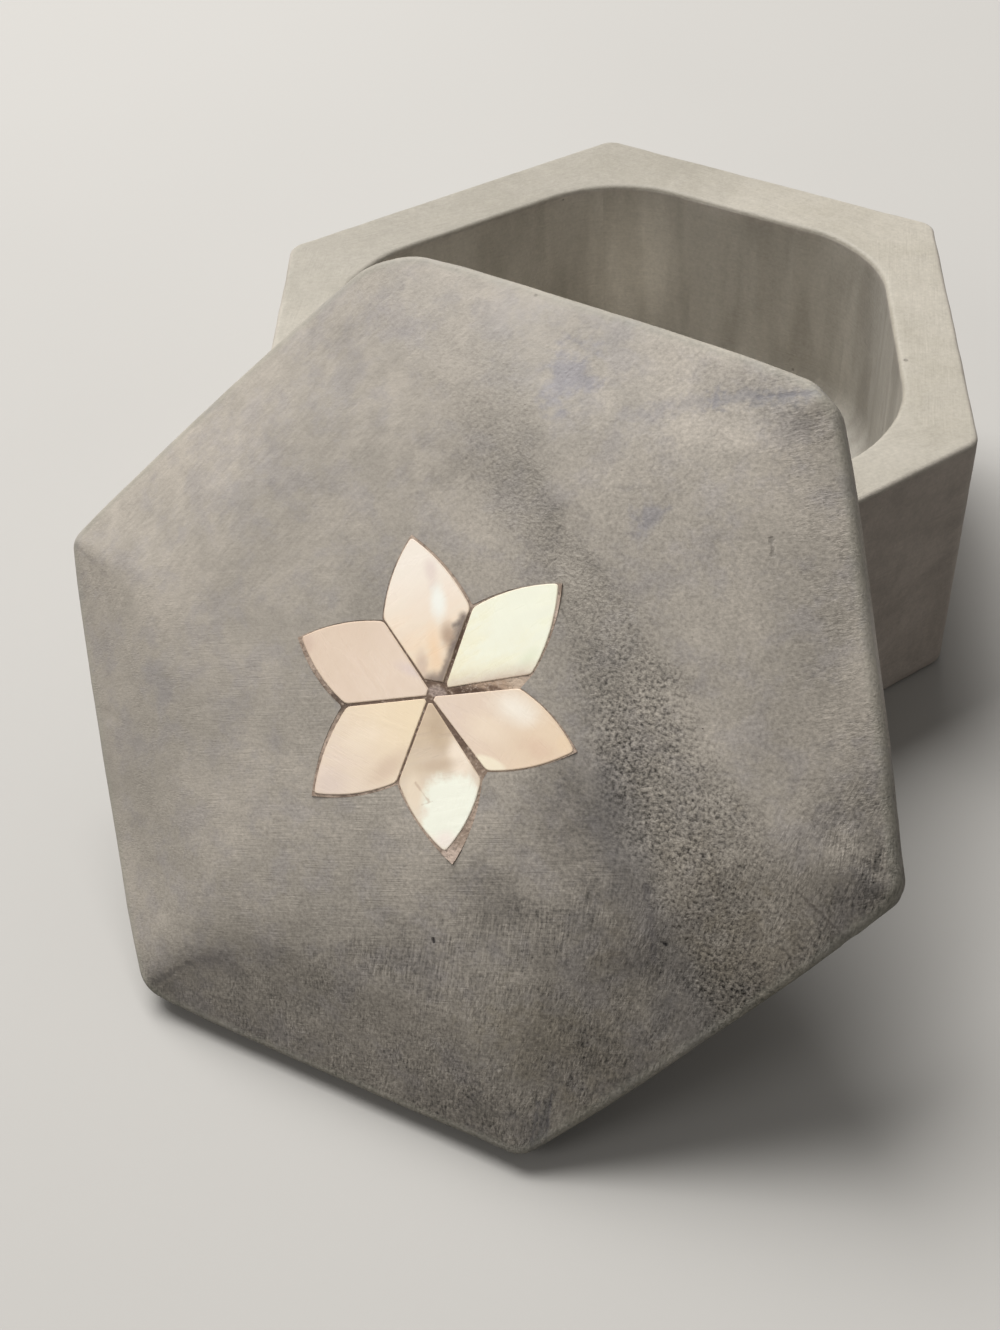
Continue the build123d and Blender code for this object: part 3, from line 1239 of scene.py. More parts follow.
class StoneLoft:
    """A closed stone surface, raised from loops that are extruded, scaled and bridged."""

    def __init__(self, arc_steps: int, side_steps: int) -> None:
        """Start an empty mesh.

        Args:
            arc_steps: Edges round each corner.
            side_steps: Edges along each side.
        """
        self.mesh = bmesh.new()
        self.arc_steps = arc_steps
        self.side_steps = side_steps
        layers = self.mesh.verts.layers.float
        self.layers = {name: layers.new(name) for name in ("rub", "rim", "hollow", "inset")}

    def start(self, corners: list[Vector], radii: tuple[float, ...], height: float,
              reach: float) -> Loop:
        """Lay the first loop of an outline.

        Args:
            corners: Sharp corners of the outline.
            radii: Rounding of each corner.
            height: Where the loop lies.
            reach: Mean distance from its centre to its sides.

        Returns:
            The loop.
        """
        known = set(self.mesh.edges)
        verts = [self.mesh.verts.new((c.x, c.y, height)) for c in corners]
        self.mesh.faces.new(verts)
        for vert, radius in zip(verts, radii):
            bmesh.ops.bevel(self.mesh, geom=[vert], offset=radius * CORNER_CUT,
                            offset_type="OFFSET", affect="VERTICES", segments=self.arc_steps,
                            profile=0.5, material=-1)
        long = [e for e in self.mesh.edges if e not in known and e.calc_length() > 5]
        bmesh.ops.subdivide_edges(self.mesh, edges=long, cuts=self.side_steps - 1)
        faces = [f for f in self.mesh.faces if all(e not in known for e in f.edges)]
        bmesh.ops.delete(self.mesh, geom=faces, context="FACES_ONLY")
        centre = sum(corners, Vector()) / 6
        centre.z = height
        edges = [e for e in self.mesh.edges if e not in known]
        return Loop(edges, list({v for e in edges for v in e.verts}), centre, reach, 0.0, height)

    def step(self, loop: Loop, inset: float, height: float, **marks: float) -> Loop:
        """Extrude a loop to its next place.

        Args:
            loop: Where the surface has come to.
            inset: How far inside its outline the next loop lies.
            height: Height of the next loop.
            **marks: Values of the mesh's layers on the next loop.

        Returns:
            The next loop.
        """
        grown = bmesh.ops.extrude_edge_only(self.mesh, edges=loop.edges)["geom"]
        verts = [g for g in grown if isinstance(g, bmesh.types.BMVert)]
        edges = [g for g in grown if isinstance(g, bmesh.types.BMEdge)]
        scale = (loop.reach - inset) / (loop.reach - loop.inset)
        bmesh.ops.scale(self.mesh, vec=(scale, scale, 1.0), verts=verts,
                        space=Matrix.Translation(-loop.centre))
        bmesh.ops.translate(self.mesh, vec=(0.0, 0.0, height - loop.height), verts=verts)
        self.mark(verts, **{"rub": 0.0, "rim": 0.0, "hollow": 0.0, "inset": inset, **marks})
        return Loop(edges, verts, loop.centre, loop.reach, inset, height)

    def mark(self, verts: list[bmesh.types.BMVert], **marks: float) -> None:
        """Give vertices values of the mesh's layers."""
        for name, value in marks.items():
            for vert in verts:
                vert[self.layers[name]] = value

    def wall(self, loop: Loop, steps: int, height: float, **marks: float) -> Loop:
        """Raise or sink a straight wall.

        Args:
            loop: Where the surface has come to.
            steps: Loops of the wall.
            height: Where the wall ends.
            **marks: Values of the mesh's layers on the wall.

        Returns:
            The wall's last loop.
        """
        start = loop.height
        for i in range(1, steps + 1):
            loop = self.step(loop, loop.inset, start + (height - start) * i / steps, **marks)
        return loop

    def turn(self, loop: Loop, steps: int, inwards: float, upwards: float, **marks: float) -> Loop:
        """Round an arris by a quarter turn.

        Args:
            loop: Where the surface has come to.
            steps: Loops of the arris.
            inwards: How far the surface goes inwards, below 0 for outwards.
            upwards: How far it goes up, below 0 for down.
            **marks: Values of the mesh's layers on the arris.

        Returns:
            The arris's last loop.
        """
        inset, height = loop.inset, loop.height
        for i in range(1, steps + 1):
            angle = radians(90 * i / steps)
            loop = self.step(loop, inset + inwards * (1 - cos(angle)),
                             height + upwards * sin(angle), **marks)
        return loop

    def bridge(self, first: Loop, second: Loop, cuts: int) -> list[bmesh.types.BMVert]:
        """Join two loops with a band of faces.

        Args:
            first: One loop.
            second: The other loop.
            cuts: Loops that are added between them.

        Returns:
            The vertices that the cuts add.
        """
        known = set(self.mesh.edges)
        bmesh.ops.bridge_loops(self.mesh, edges=first.edges + second.edges)
        spokes = [e for e in self.mesh.edges if e not in known]
        cut = bmesh.ops.subdivide_edges(self.mesh, edges=spokes, cuts=cuts, use_grid_fill=True)
        return [g for g in cut["geom_inner"] if isinstance(g, bmesh.types.BMVert)]

    def close(self, loop: Loop, insets: tuple[float, ...], **marks: float) -> None:
        """Fill the inside of a loop with smaller loops that end in one point.

        Args:
            loop: The outermost loop.
            insets: Where the smaller loops lie.
            **marks: Values of the mesh's layers there.
        """
        for inset in insets:
            loop = self.step(loop, inset, loop.height, **marks)
        last = self.step(loop, loop.reach, loop.height, **marks)
        bmesh.ops.pointmerge(self.mesh, verts=last.verts, merge_co=last.verts[0].co)


class Piece:
    """Turns a finished bmesh into one named object of the part."""

    def publish(self, mesh: bmesh.types.BMesh, name: str, place: Matrix, body: Body, slot: Slot,
                finish: Finish, nodes: tuple[str, ...], sharp: float = 35.0,
                own_plan: Matrix | None = None) -> bpy.types.Object:
        """Place a mesh, dress it, hang it on its body and hide the CAD nodes that it replaces.

        Args:
            mesh: The mesh, in its own plan and in millimetres.
            name: Name of the piece.
            place: From that plan to the frame, in millimetres.
            body: CAD body that it rides on.
            slot: Material slot of the record; not used.
            finish: What it is made of.
            nodes: CAD nodes that it replaces.
            sharp: Angle from which an edge is shaded sharp, in degrees.
            own_plan: Plan that its material uses, where it isn't the mesh's.

        Returns:
            The object.
        """
        bmesh.ops.recalc_face_normals(mesh, faces=mesh.faces)
        bmesh.ops.transform(mesh, matrix=Matrix.Scale(MM, 4) @ place, verts=mesh.verts)
        data = frozen(name, mesh)
        data.shade_smooth()
        data.set_sharp_from_angle(angle=radians(sharp))
        data.materials.append(finish.material(name + "_finish", own_plan or place))
        piece = stand(name, data)
        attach(piece, body.value)
        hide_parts(*nodes)
        log.info("%s: %d faces", name, len(data.polygons))
        return piece


@dataclass
class CarvedBox(Piece):
    """The box body: upright walls round a rounded hexagonal cavity."""

    outline: HandCutHexagon
    height: float = 27.0
    floor: float = 6.0
    rim_width: float = 5.9
    cavity_forward: float = 1.1
    corner_radii: tuple[float, ...] = (1.8, 1.8, 1.8, 1.8, 1.8, 1.8)
    cavity_corner_radius: float = 12.0
    cavity_bottom_radius: float = 4.0
    foot_arris: float = 0.7
    rim_arris: float = 0.5
    cavity_arris: float = 0.5
    rim_land: float = 0.5
    wall_reach: float = 32.5
    mouth_reach: float = 26.6
    underside_insets: tuple[float, ...] = (2.0, 5.0, 9.0, 14.0, 19.0, 24.0, 28.0, 31.0)
    floor_insets: tuple[float, ...] = (5.5, 8.0, 11.0, 14.0, 17.0, 20.0, 23.0, 25.4)
    waves: Points = ((0.10, 9.0), (0.05, 3.1))
    hollow_wave: float = 0.22
    finish: BoxStoneFinish = field(default_factory=BoxStoneFinish)

    def build(self) -> bpy.types.Object:
        """Raise the walls, lay the rim and sink the cavity.

        Returns:
            The dressed box.
        """
        loft = StoneLoft(arc_steps=12, side_steps=52)
        foot = loft.start(self.outline.corners(), self.corner_radii, self.foot_arris,
                          self.wall_reach)
        loft.close(loft.turn(foot, 4, self.foot_arris, -self.foot_arris, rub=0.4), self.underside_insets)
        top = self.height - self.rim_arris
        loop = loft.wall(foot, 24, top)
        loft.mark(loop.verts, rub=0.5)
        for i in range(1, 6):
            angle = radians(90 * i / 5)
            loop = loft.step(loop, self.rim_arris * (1 - cos(angle)), top + self.rim_arris * sin(angle),
                             rub=1.0 - 0.1 * i, rim=i / 5)
        outer = loft.step(loop, self.rim_arris + self.rim_land, self.height, rub=0.2, rim=1.0)
        mouth = loft.start(self.outline.inset(self.rim_width, self.cavity_forward),
                           (self.cavity_corner_radius,) * 6, self.height, self.mouth_reach)
        inner = self.sink(loft, mouth)
        loft.mark(loft.bridge(outer, inner, 7), rim=1.0)
        self.hand_work(loft)
        return self.publish(loft.mesh, "carved_box", Matrix.Identity(4), Body.BOX, Slot.BOX_STONE,
                            self.finish, ("box_body",))

    def sink(self, loft: StoneLoft, mouth: Loop) -> Loop:
        """Sink the cavity below its mouth.

        Args:
            loft: The surface that is raised.
            mouth: Loop of the cavity's wall, at the rim's height.

        Returns:
            The loop round the mouth that the rim joins.
        """
        bmesh.ops.translate(loft.mesh, vec=(0, 0, -self.cavity_arris), verts=mouth.verts)
        mouth.height -= self.cavity_arris
        loft.mark(mouth.verts, hollow=0.7)
        inner = loft.turn(mouth, 4, -self.cavity_arris, self.cavity_arris, rim=1.0, rub=0.3)
        loop = loft.wall(mouth, 16, self.floor + self.cavity_bottom_radius, hollow=1.0)
        loop = loft.turn(loop, 8, self.cavity_bottom_radius, -self.cavity_bottom_radius, hollow=1.0)
        loft.close(loop, self.floor_insets, hollow=1.0)
        return inner

    def hand_work(self, loft: StoneLoft) -> None:
        """Give the true shape the small waves of hand work.

        Args:
            loft: The finished surface.
        """
        loft.mesh.normal_update()
        hollow = loft.layers["hollow"]
        for vert in loft.mesh.verts:
            wave = waves(vert.co, self.waves)
            if vert[hollow] > 0.8:
                upright = Vector((vert.co.x / 4, vert.co.y / 4, vert.co.z / 30))
                wave = self.hollow_wave * noise.noise(upright)
            vert.co -= vert.normal * abs(wave)


@dataclass
class Flower:
    """The six petals' plan. Each point is an angle from the foot edge and a reach in millimetres."""

    roots: Points = ((41, 1.5), (60, 1.43), (128, 0.55), (221, 0.55), (268, 0.6), (318, 0.4))
    starts: Points = ((28.4, 8.3), (82.0, 7.4), (142.6, 7.0), (204.5, 7.1), (266.1, 7.1), (326.9, 7.3))
    tips: Points = ((56.8, 13.2), (116.0, 12.3), (175.0, 12.0), (235.4, 12.4), (293.9, 11.9), (358.0, 12.3))
    ends: Points = ((80.6, 7.5), (141.8, 7.2), (202.8, 7.2), (265.0, 7.2), (321.4, 7.6), (382.0, 7.2))
    heels: Points = ((54.5, 1.65), (131, 1.39), (200, 0.35), (252, 0.6), (302, 0.6), (370, 0.4))
    blunting: float = 0.3
    joint_margins: tuple[float, ...] = (0.12, 0.3, 0.12, 0.5, 0.25, 0.12)
    cement_tips: Points = ((56.0, 13.42), (115.8, 12.5), (175.8, 12.3), (235.6, 12.7), (296.2, 12.9),
                           (358.2, 12.5))
    swell: float = 0.45
    ground_edge: float = 0.08
    face_inset: float = 0.05

    def slab(self, points: list[Vector], bowed: list[bool], floor: float, top: float,
             blunting: float = 0.0) -> bmesh.types.BMesh:
        """A flat slab with some of its sides bowed outwards.

        Args:
            points: Corners, anticlockwise.
            bowed: Which of the sides after each corner swell.
            floor: Height of its underside.
            top: Height of its upper face.
            blunting: How far its corners are cut back.

        Returns:
            The slab.
        """
        mesh = bmesh.new()
        mesh.verts.layers.float.new("rub")
        verts = [mesh.verts.new((p.x, p.y, floor)) for p in points]
        mesh.faces.new(verts)
        sides = [mesh.edges.get((verts[i], verts[(i + 1) % len(verts)])) for i in range(len(verts))]
        for i, side in enumerate(sides):
            if not bowed[i]:
                continue
            start = Vector((points[i].x, points[i].y, floor))
            run = points[(i + 1) % len(points)] - points[i]
            aside = Vector((run.y, -run.x, 0.0)).normalized()
            cut = bmesh.ops.subdivide_edges(mesh, edges=[side], cuts=9)["geom_inner"]
            for vert in (g for g in cut if isinstance(g, bmesh.types.BMVert)):
                share = (vert.co - start).length / run.length
                vert.co += aside * self.swell * 4 * share * (1 - share)
        if blunting:
            sharp = [v for v in mesh.verts if any((v.co - p).xy.length < 0.001 for p in points[1:4])]
            bmesh.ops.bevel(mesh, geom=sharp, offset=blunting, offset_type="OFFSET",
                            affect="VERTICES", segments=3, profile=0.5, material=-1)
        raised = bmesh.ops.extrude_face_region(mesh, geom=list(mesh.faces))["geom"]
        bmesh.ops.translate(mesh, vec=(0, 0, top - floor),
                            verts=[g for g in raised if isinstance(g, bmesh.types.BMVert)])
        bmesh.ops.recalc_face_normals(mesh, faces=mesh.faces)
        return mesh

    def star(self, floor: float, top: float, margin: float = 0.0) -> bmesh.types.BMesh:
        """The whole flower's outline with the cement round it, as one slab.

        Args:
            floor: Height of its underside.
            top: Height of its upper face.
            margin: What the outline is drawn in by.

        Returns:
            The slab.
        """
        points = []
        for i in range(6):
            for angle, reach in (self.ends[i - 1], self.starts[i]):
                points.append(polar(reach + self.joint_margins[i] - margin, angle))
            angle, reach = self.cement_tips[i]
            points.append(polar(reach - margin, angle))
        return self.slab(points, [False, True, True] * 6, floor, top)

    def petal(self, i: int, floor: float, top: float) -> bmesh.types.BMesh:
        """One petal, with a narrow ground edge round its upper face.

        Args:
            i: Number of the petal.
            floor: Height of its underside.
            top: Height of its upper face.

        Returns:
            The petal.
        """
        points = [polar(reach, angle) for angle, reach in
                  (self.roots[i], self.starts[i], self.tips[i], self.ends[i], self.heels[i])]
        mesh = self.slab(points, [False, True, True, False, False], floor, top, self.blunting)
        rub = mesh.verts.layers.float["rub"]
        upper = max(mesh.faces, key=lambda f: f.calc_center_median().z)
        bmesh.ops.bevel(mesh, geom=list(upper.edges), offset=self.ground_edge,
                        offset_type="OFFSET", affect="EDGES", segments=3, profile=0.5, material=-1)
        upper = max(mesh.faces, key=lambda f: (f.calc_center_median().z, f.calc_area()))
        bmesh.ops.inset_region(mesh, faces=[upper], thickness=self.face_inset, depth=0.0)
        inner = set(upper.verts)
        for vert in mesh.verts:
            vert[rub] = 0.0 if vert in inner else 1.0
        return mesh


@dataclass(frozen=True)
class Chip:
    """A small chip in the lid's arris, placed in its plan in millimetres."""

    centre: Pair
    radius: float
    depth: float


@dataclass
class DomedLid(Piece):
    """The lid: a low dome of six facets, a flange, and the plug that finds the cavity."""

    outline: HandCutHexagon
    place: Matrix
    edge: float = 2.8
    rise: float = 5.0
    flat_reach: float = 8.0
    crown_flat: float = 0.2
    round_reach: float = 36.0
    hip_start: float = 14.0
    hip_end: float = 29.0
    soft_hip_end: float = 42.0
    corner_radii: tuple[float, ...] = (2.0, 3.5, 6.0, 1.5, 2.5, 1.5)
    side_bow: float = 0.5
    bow_powers: tuple[float, ...] = (4.5, 4.5, 4.5, 4.5, 4.5, 3.0)
    bow_depth: float = 7.0
    seat_arris: float = 0.7
    worn_arris: float = 0.6
    right_wear: float = 0.6
    hip_softness: float = 0.05
    hip_blur: float = 0.065
    rounded_out: float = 0.45
    plug_depth: float = 5.6
    rim_width: float = 5.9
    plug_clearance: float = 0.5
    plug_corner_radius: float = 11.5
    plug_arris: float = 0.6
    cavity_forward: float = 1.1
    forward_turn: float = 0.0
    plug_insets: tuple[float, ...] = (2.5, 5.0, 8.0, 11.0, 14.0, 17.0, 20.0, 23.0, 25.0)
    arris_insets: tuple[float, ...] = (0.0, 0.02, 0.07, 0.15, 0.26, 0.4, 0.58, 0.8, 1.1, 1.45, 1.85)
    dome_step: float = 0.46
    dome_reach: float = 31.1
    flange_reach: float = 32.0
    flange_rise: float = 1.05
    plug_reach: float = 26.1
    ripple_depth: float = 0.08
    ripple_reach: float = 8.0
    arris_sink: float = 0.65
    arris_slope: float = 0.41
    waves: Points = ((0.10, 13.0), (0.04, 4.0))
    chips: tuple[Chip, ...] = (
        Chip((34.6, -7.6), 0.9, 0.1), Chip((24.6, -20.5), 0.7, 0.15), Chip((-29.6, -11.0), 0.8, 0.15),
        Chip((33.6, 8.0), 0.8, 0.15))
    pocket_depth: float = 2.0
    bed_depth: float = 0.4
    bed_sink: float = 0.03
    bed_margin: float = 0.02
    petal_proud: float = 0.02
    finish: LidStoneFinish = field(default_factory=LidStoneFinish)
    cement: CementFinish = field(default_factory=CementFinish)
    flower: Flower = field(default_factory=Flower)

    @property
    def flower_top(self) -> float:
        """Height of the flat crown that the flower lies in."""
        return self.edge + self.rise - self.crown_flat

    def arris_at(self, spot: Vector) -> float:
        """How far the upper arris is worn at one place.

        Args:
            spot: The place, in the lid's plan.

        Returns:
            Radius of the arris.
        """
        right = self.outline.sides[0]
        share = eased(spot.dot(right.normal) / right.reach, 0.93, 1.0)
        return self.worn_arris + self.right_wear * share + waves(spot, ((0.15, 11.0),))

    def bow(self, spot: Vector) -> Vector:
        """How the hand-sanded sides swell outwards, most along their middles.

        Args:
            spot: The place in the lid's plan, on the straight outline or inside it.

        Returns:
            The way that the place moves.
        """
        number = self.outline.nearest(spot)
        side = self.outline.sides[number]
        reach = side.reach - self.side_bow
        out = side.normal.dot(spot)
        depth = reach - out
        if depth > self.bow_depth:
            return Vector()
        half = side.half - self.side_bow * CORNER_CUT
        share = min(1.0, abs(spot.dot(side.run) * reach / out - side.middle) / half)
        fade = 1 - max(0.0, depth) / self.bow_depth
        return side.normal * self.side_bow * (1 - share ** self.bow_powers[number]) * fade

    def spread(self, spot: Vector) -> Vector:
        """How far the lower right side stands out beyond the shared outline.

        Args:
            spot: The place in the lid's plan.

        Returns:
            The way that the place moves.
        """
        side = self.outline.sides[5]
        near = eased(side.normal.dot(spot) / side.reach, 0.88, 0.99)
        return side.normal * self.rounded_out * near

    def dome(self, spot: Vector) -> float:
        """Height of the facets at one place, with soft hips between them.

        Args:
            spot: The place, in the lid's plan.

        Returns:
            The height.
        """
        weights = heights = 0.0
        depth = max(0.0, min(side.reach - side.normal.dot(spot) for side in self.outline.sides))
        softness = self.hip_softness + self.hip_blur * min(depth, 9.0)
        for side in self.outline.sides:
            out = max(0.0, side.normal.dot(spot) - self.flat_reach)
            height = self.rise * (1 - (out / (side.reach - self.flat_reach)) ** 2)
            weight = exp(-height / softness)
            weights += weight
            heights += weight * height
        round_height = self.rise * (1 - (spot.length / self.round_reach) ** 2.6)
        uphill = eased(spot.y, -8.0, 14.0)
        hip_end = self.hip_end + (self.soft_hip_end - self.hip_end) * uphill
        share = eased(spot.length, self.hip_start, hip_end)
        height = round_height + (heights / weights - round_height) * share
        return self.edge + min(self.rise - self.crown_flat, height)

    def build(self) -> bpy.types.Object:
        """Raise the lid and let the flower into it.

        Returns:
            The dressed lid.
        """
        loft = StoneLoft(arc_steps=12, side_steps=60)
        seat = loft.start(self.outline.inset(self.side_bow), self.corner_radii, self.seat_arris,
                          self.flange_reach)
        loop = loft.turn(seat, 4, self.seat_arris, -self.seat_arris, rub=0.6)
        self.plug(loft, loft.step(loop, self.seat_arris + 0.5, 0.0))
        crown = self.raise_top(loft, seat)
        self.hand_work(loft, crown)
        piece = self.publish(loft.mesh, "domed_lid", self.place, Body.COVER, Slot.LID_STONE,
                             self.finish, ("lid",))
        self.cut(piece, self.flower.star(self.flower_top - self.pocket_depth, self.flower_top + 2))
        return piece

    def plug(self, loft: StoneLoft, seat: Loop) -> None:
        """Raise the plug under the seat.

        Args:
            loft: The surface that is raised.
            seat: Loop round the seat.
        """
        corners = self.outline.inset(self.rim_width + self.plug_clearance)
        shift = Matrix.Rotation(self.forward_turn, 4, "Z") @ Vector((0, -self.cavity_forward, 0))
        root = loft.start([c + shift for c in corners], (self.plug_corner_radius,) * 6, -3.0,
                          self.plug_reach)
        loft.bridge(seat, root, 7)
        # The band between two level loops can twist, so the root is bridged low and raised here
        for vert in loft.mesh.verts:
            vert.co.z = max(0.0, vert.co.z)
        root.height = 0.0
        loop = loft.wall(root, 6, self.plug_arris - self.plug_depth)
        loft.close(loft.turn(loop, 4, self.plug_arris, -self.plug_arris, rub=0.5), self.plug_insets)

    def raise_top(self, loft: StoneLoft, seat: Loop) -> list[bmesh.types.BMVert]:
        """Raise the flange's wall and lay the loops of the dome.

        Args:
            loft: The surface that is raised.
            seat: Loop at the foot of the flange's wall.

        Returns:
            The vertices whose height the dome decides.
        """
        loop = loft.wall(seat, 3, self.seat_arris + self.flange_rise, rub=0.15)
        crown = []
        insets = list(self.arris_insets)
        while insets[-1] < self.dome_reach:
            insets.append(insets[-1] + self.dome_step)
        for inset in insets:
            loop = loft.step(loop, inset, self.edge, rub=1.0 - eased(inset, 0.1, 1.4))
            crown += loop.verts
        last = loft.step(loop, loop.reach, self.edge)
        bmesh.ops.pointmerge(loft.mesh, verts=last.verts, merge_co=last.verts[0].co)
        return crown + [v for v in loft.mesh.verts if v.co.length < self.edge + 0.01]

    def hand_work(self, loft: StoneLoft, crown: list[bmesh.types.BMVert]) -> None:
        """Shape the dome and the worn arris, and give the lid the small waves of hand work.

        Args:
            loft: The finished surface.
            crown: The vertices whose height the dome decides.
        """
        inset = loft.layers["inset"]
        for vert in loft.mesh.verts:
            if vert.co.z > -0.01:
                spot = flat(vert.co)
                vert.co += self.bow(spot) + self.spread(spot)
        for vert in crown:
            spot = flat(vert.co)
            arris = self.arris_at(spot)
            depth = vert[inset]
            height = self.dome(spot)
            if depth < arris:
                arc = sqrt(arris ** 2 - (arris - depth) ** 2) - self.arris_sink * arris
                height += min(0.0, arc - self.arris_slope * depth)
            vert.co.z = height - abs(waves(spot, self.waves)) * eased(spot.length, 13.5, 18.0)
        for vert in loft.mesh.verts:
            if vert.co.z < -0.01 or vert[inset] > self.ripple_reach:
                continue
            side = self.outline.sides[self.outline.nearest(flat(vert.co))]
            ripple = abs(noise.noise(vert.co / 7)) + 0.5 * abs(noise.noise(vert.co / 2.2))
            fade = 1 - vert[inset] / self.ripple_reach
            vert.co -= side.normal * self.ripple_depth * ripple * fade
            self.notch(vert)

    def notch(self, vert: bmesh.types.BMVert) -> None:
        """Press the small chips into the arris.

        Args:
            vert: A vertex of the flange.
        """
        for chip in self.chips:
            gap = (vert.co.xy - Vector(chip.centre)).length
            if gap < chip.radius:
                push = chip.depth * (1 - (gap / chip.radius) ** 2) ** 2
                vert.co -= flat(vert.co).normalized() * push
                if vert.co.z > self.edge - 0.8:
                    vert.co.z -= push * 0.7

    def cut(self, piece: bpy.types.Object, cutter: bmesh.types.BMesh) -> None:
        """Cut a slab out of a placed piece.

        Args:
            piece: The piece.
            cutter: The slab, in the lid's plan.
        """
        bmesh.ops.transform(cutter, matrix=Matrix.Scale(MM, 4) @ self.place, verts=cutter.verts)
        tool = stand("cutter", frozen("cutter", cutter))
        modifier = piece.modifiers.new("cut", "BOOLEAN")
        modifier.operation = "DIFFERENCE"
        modifier.solver = "EXACT"
        modifier.object = tool
        bpy.context.view_layer.update()
        graph = bpy.context.evaluated_depsgraph_get()
        whole = bpy.data.meshes.new_from_object(piece.evaluated_get(graph))
        piece.modifiers.clear()
        piece.data = whole
        bpy.data.objects.remove(tool)
        whole.set_sharp_from_angle(angle=radians(35))

    def bed(self) -> bpy.types.Object:
        """Lay the cement that holds the petals.

        Returns:
            The dressed cement.
        """
        floor = self.flower_top - self.pocket_depth
        mesh = self.flower.star(floor, self.flower_top - self.bed_sink, self.bed_margin)
        upper = max(mesh.faces, key=lambda f: f.calc_center_median().z)
        bmesh.ops.triangulate(mesh, faces=[upper])
        piece = self.publish(mesh, "cement_bed", self.place, Body.COVER, Slot.CEMENT, self.cement,
                             ("inlay_cement",))
        for i in range(6):
            self.cut(piece, self.flower.petal(i, floor + self.bed_depth, self.flower_top + 1))
        return piece

    def petals(self, finishes: tuple[ShellFinish, ...]) -> list[bpy.types.Object]:
        """Set the six petals in the cement.

        Args:
            finishes: One finish for each petal.

        Returns:
            The dressed petals.
        """
        pieces = []
        floor = self.flower_top - self.pocket_depth + self.bed_depth
        for i, finish in enumerate(finishes):
            mesh = self.flower.petal(i, floor, self.flower_top + self.petal_proud)
            along = self.place @ Matrix.Rotation(radians(self.flower.tips[i][0]), 4, "Z")
            pieces.append(self.publish(mesh, "shell_petal_%d" % (i + 1), self.place, Body.COVER,
                                       Slot.SHELL, finish, ("petal_%d" % (i + 1),), 25.0, along))
        return pieces


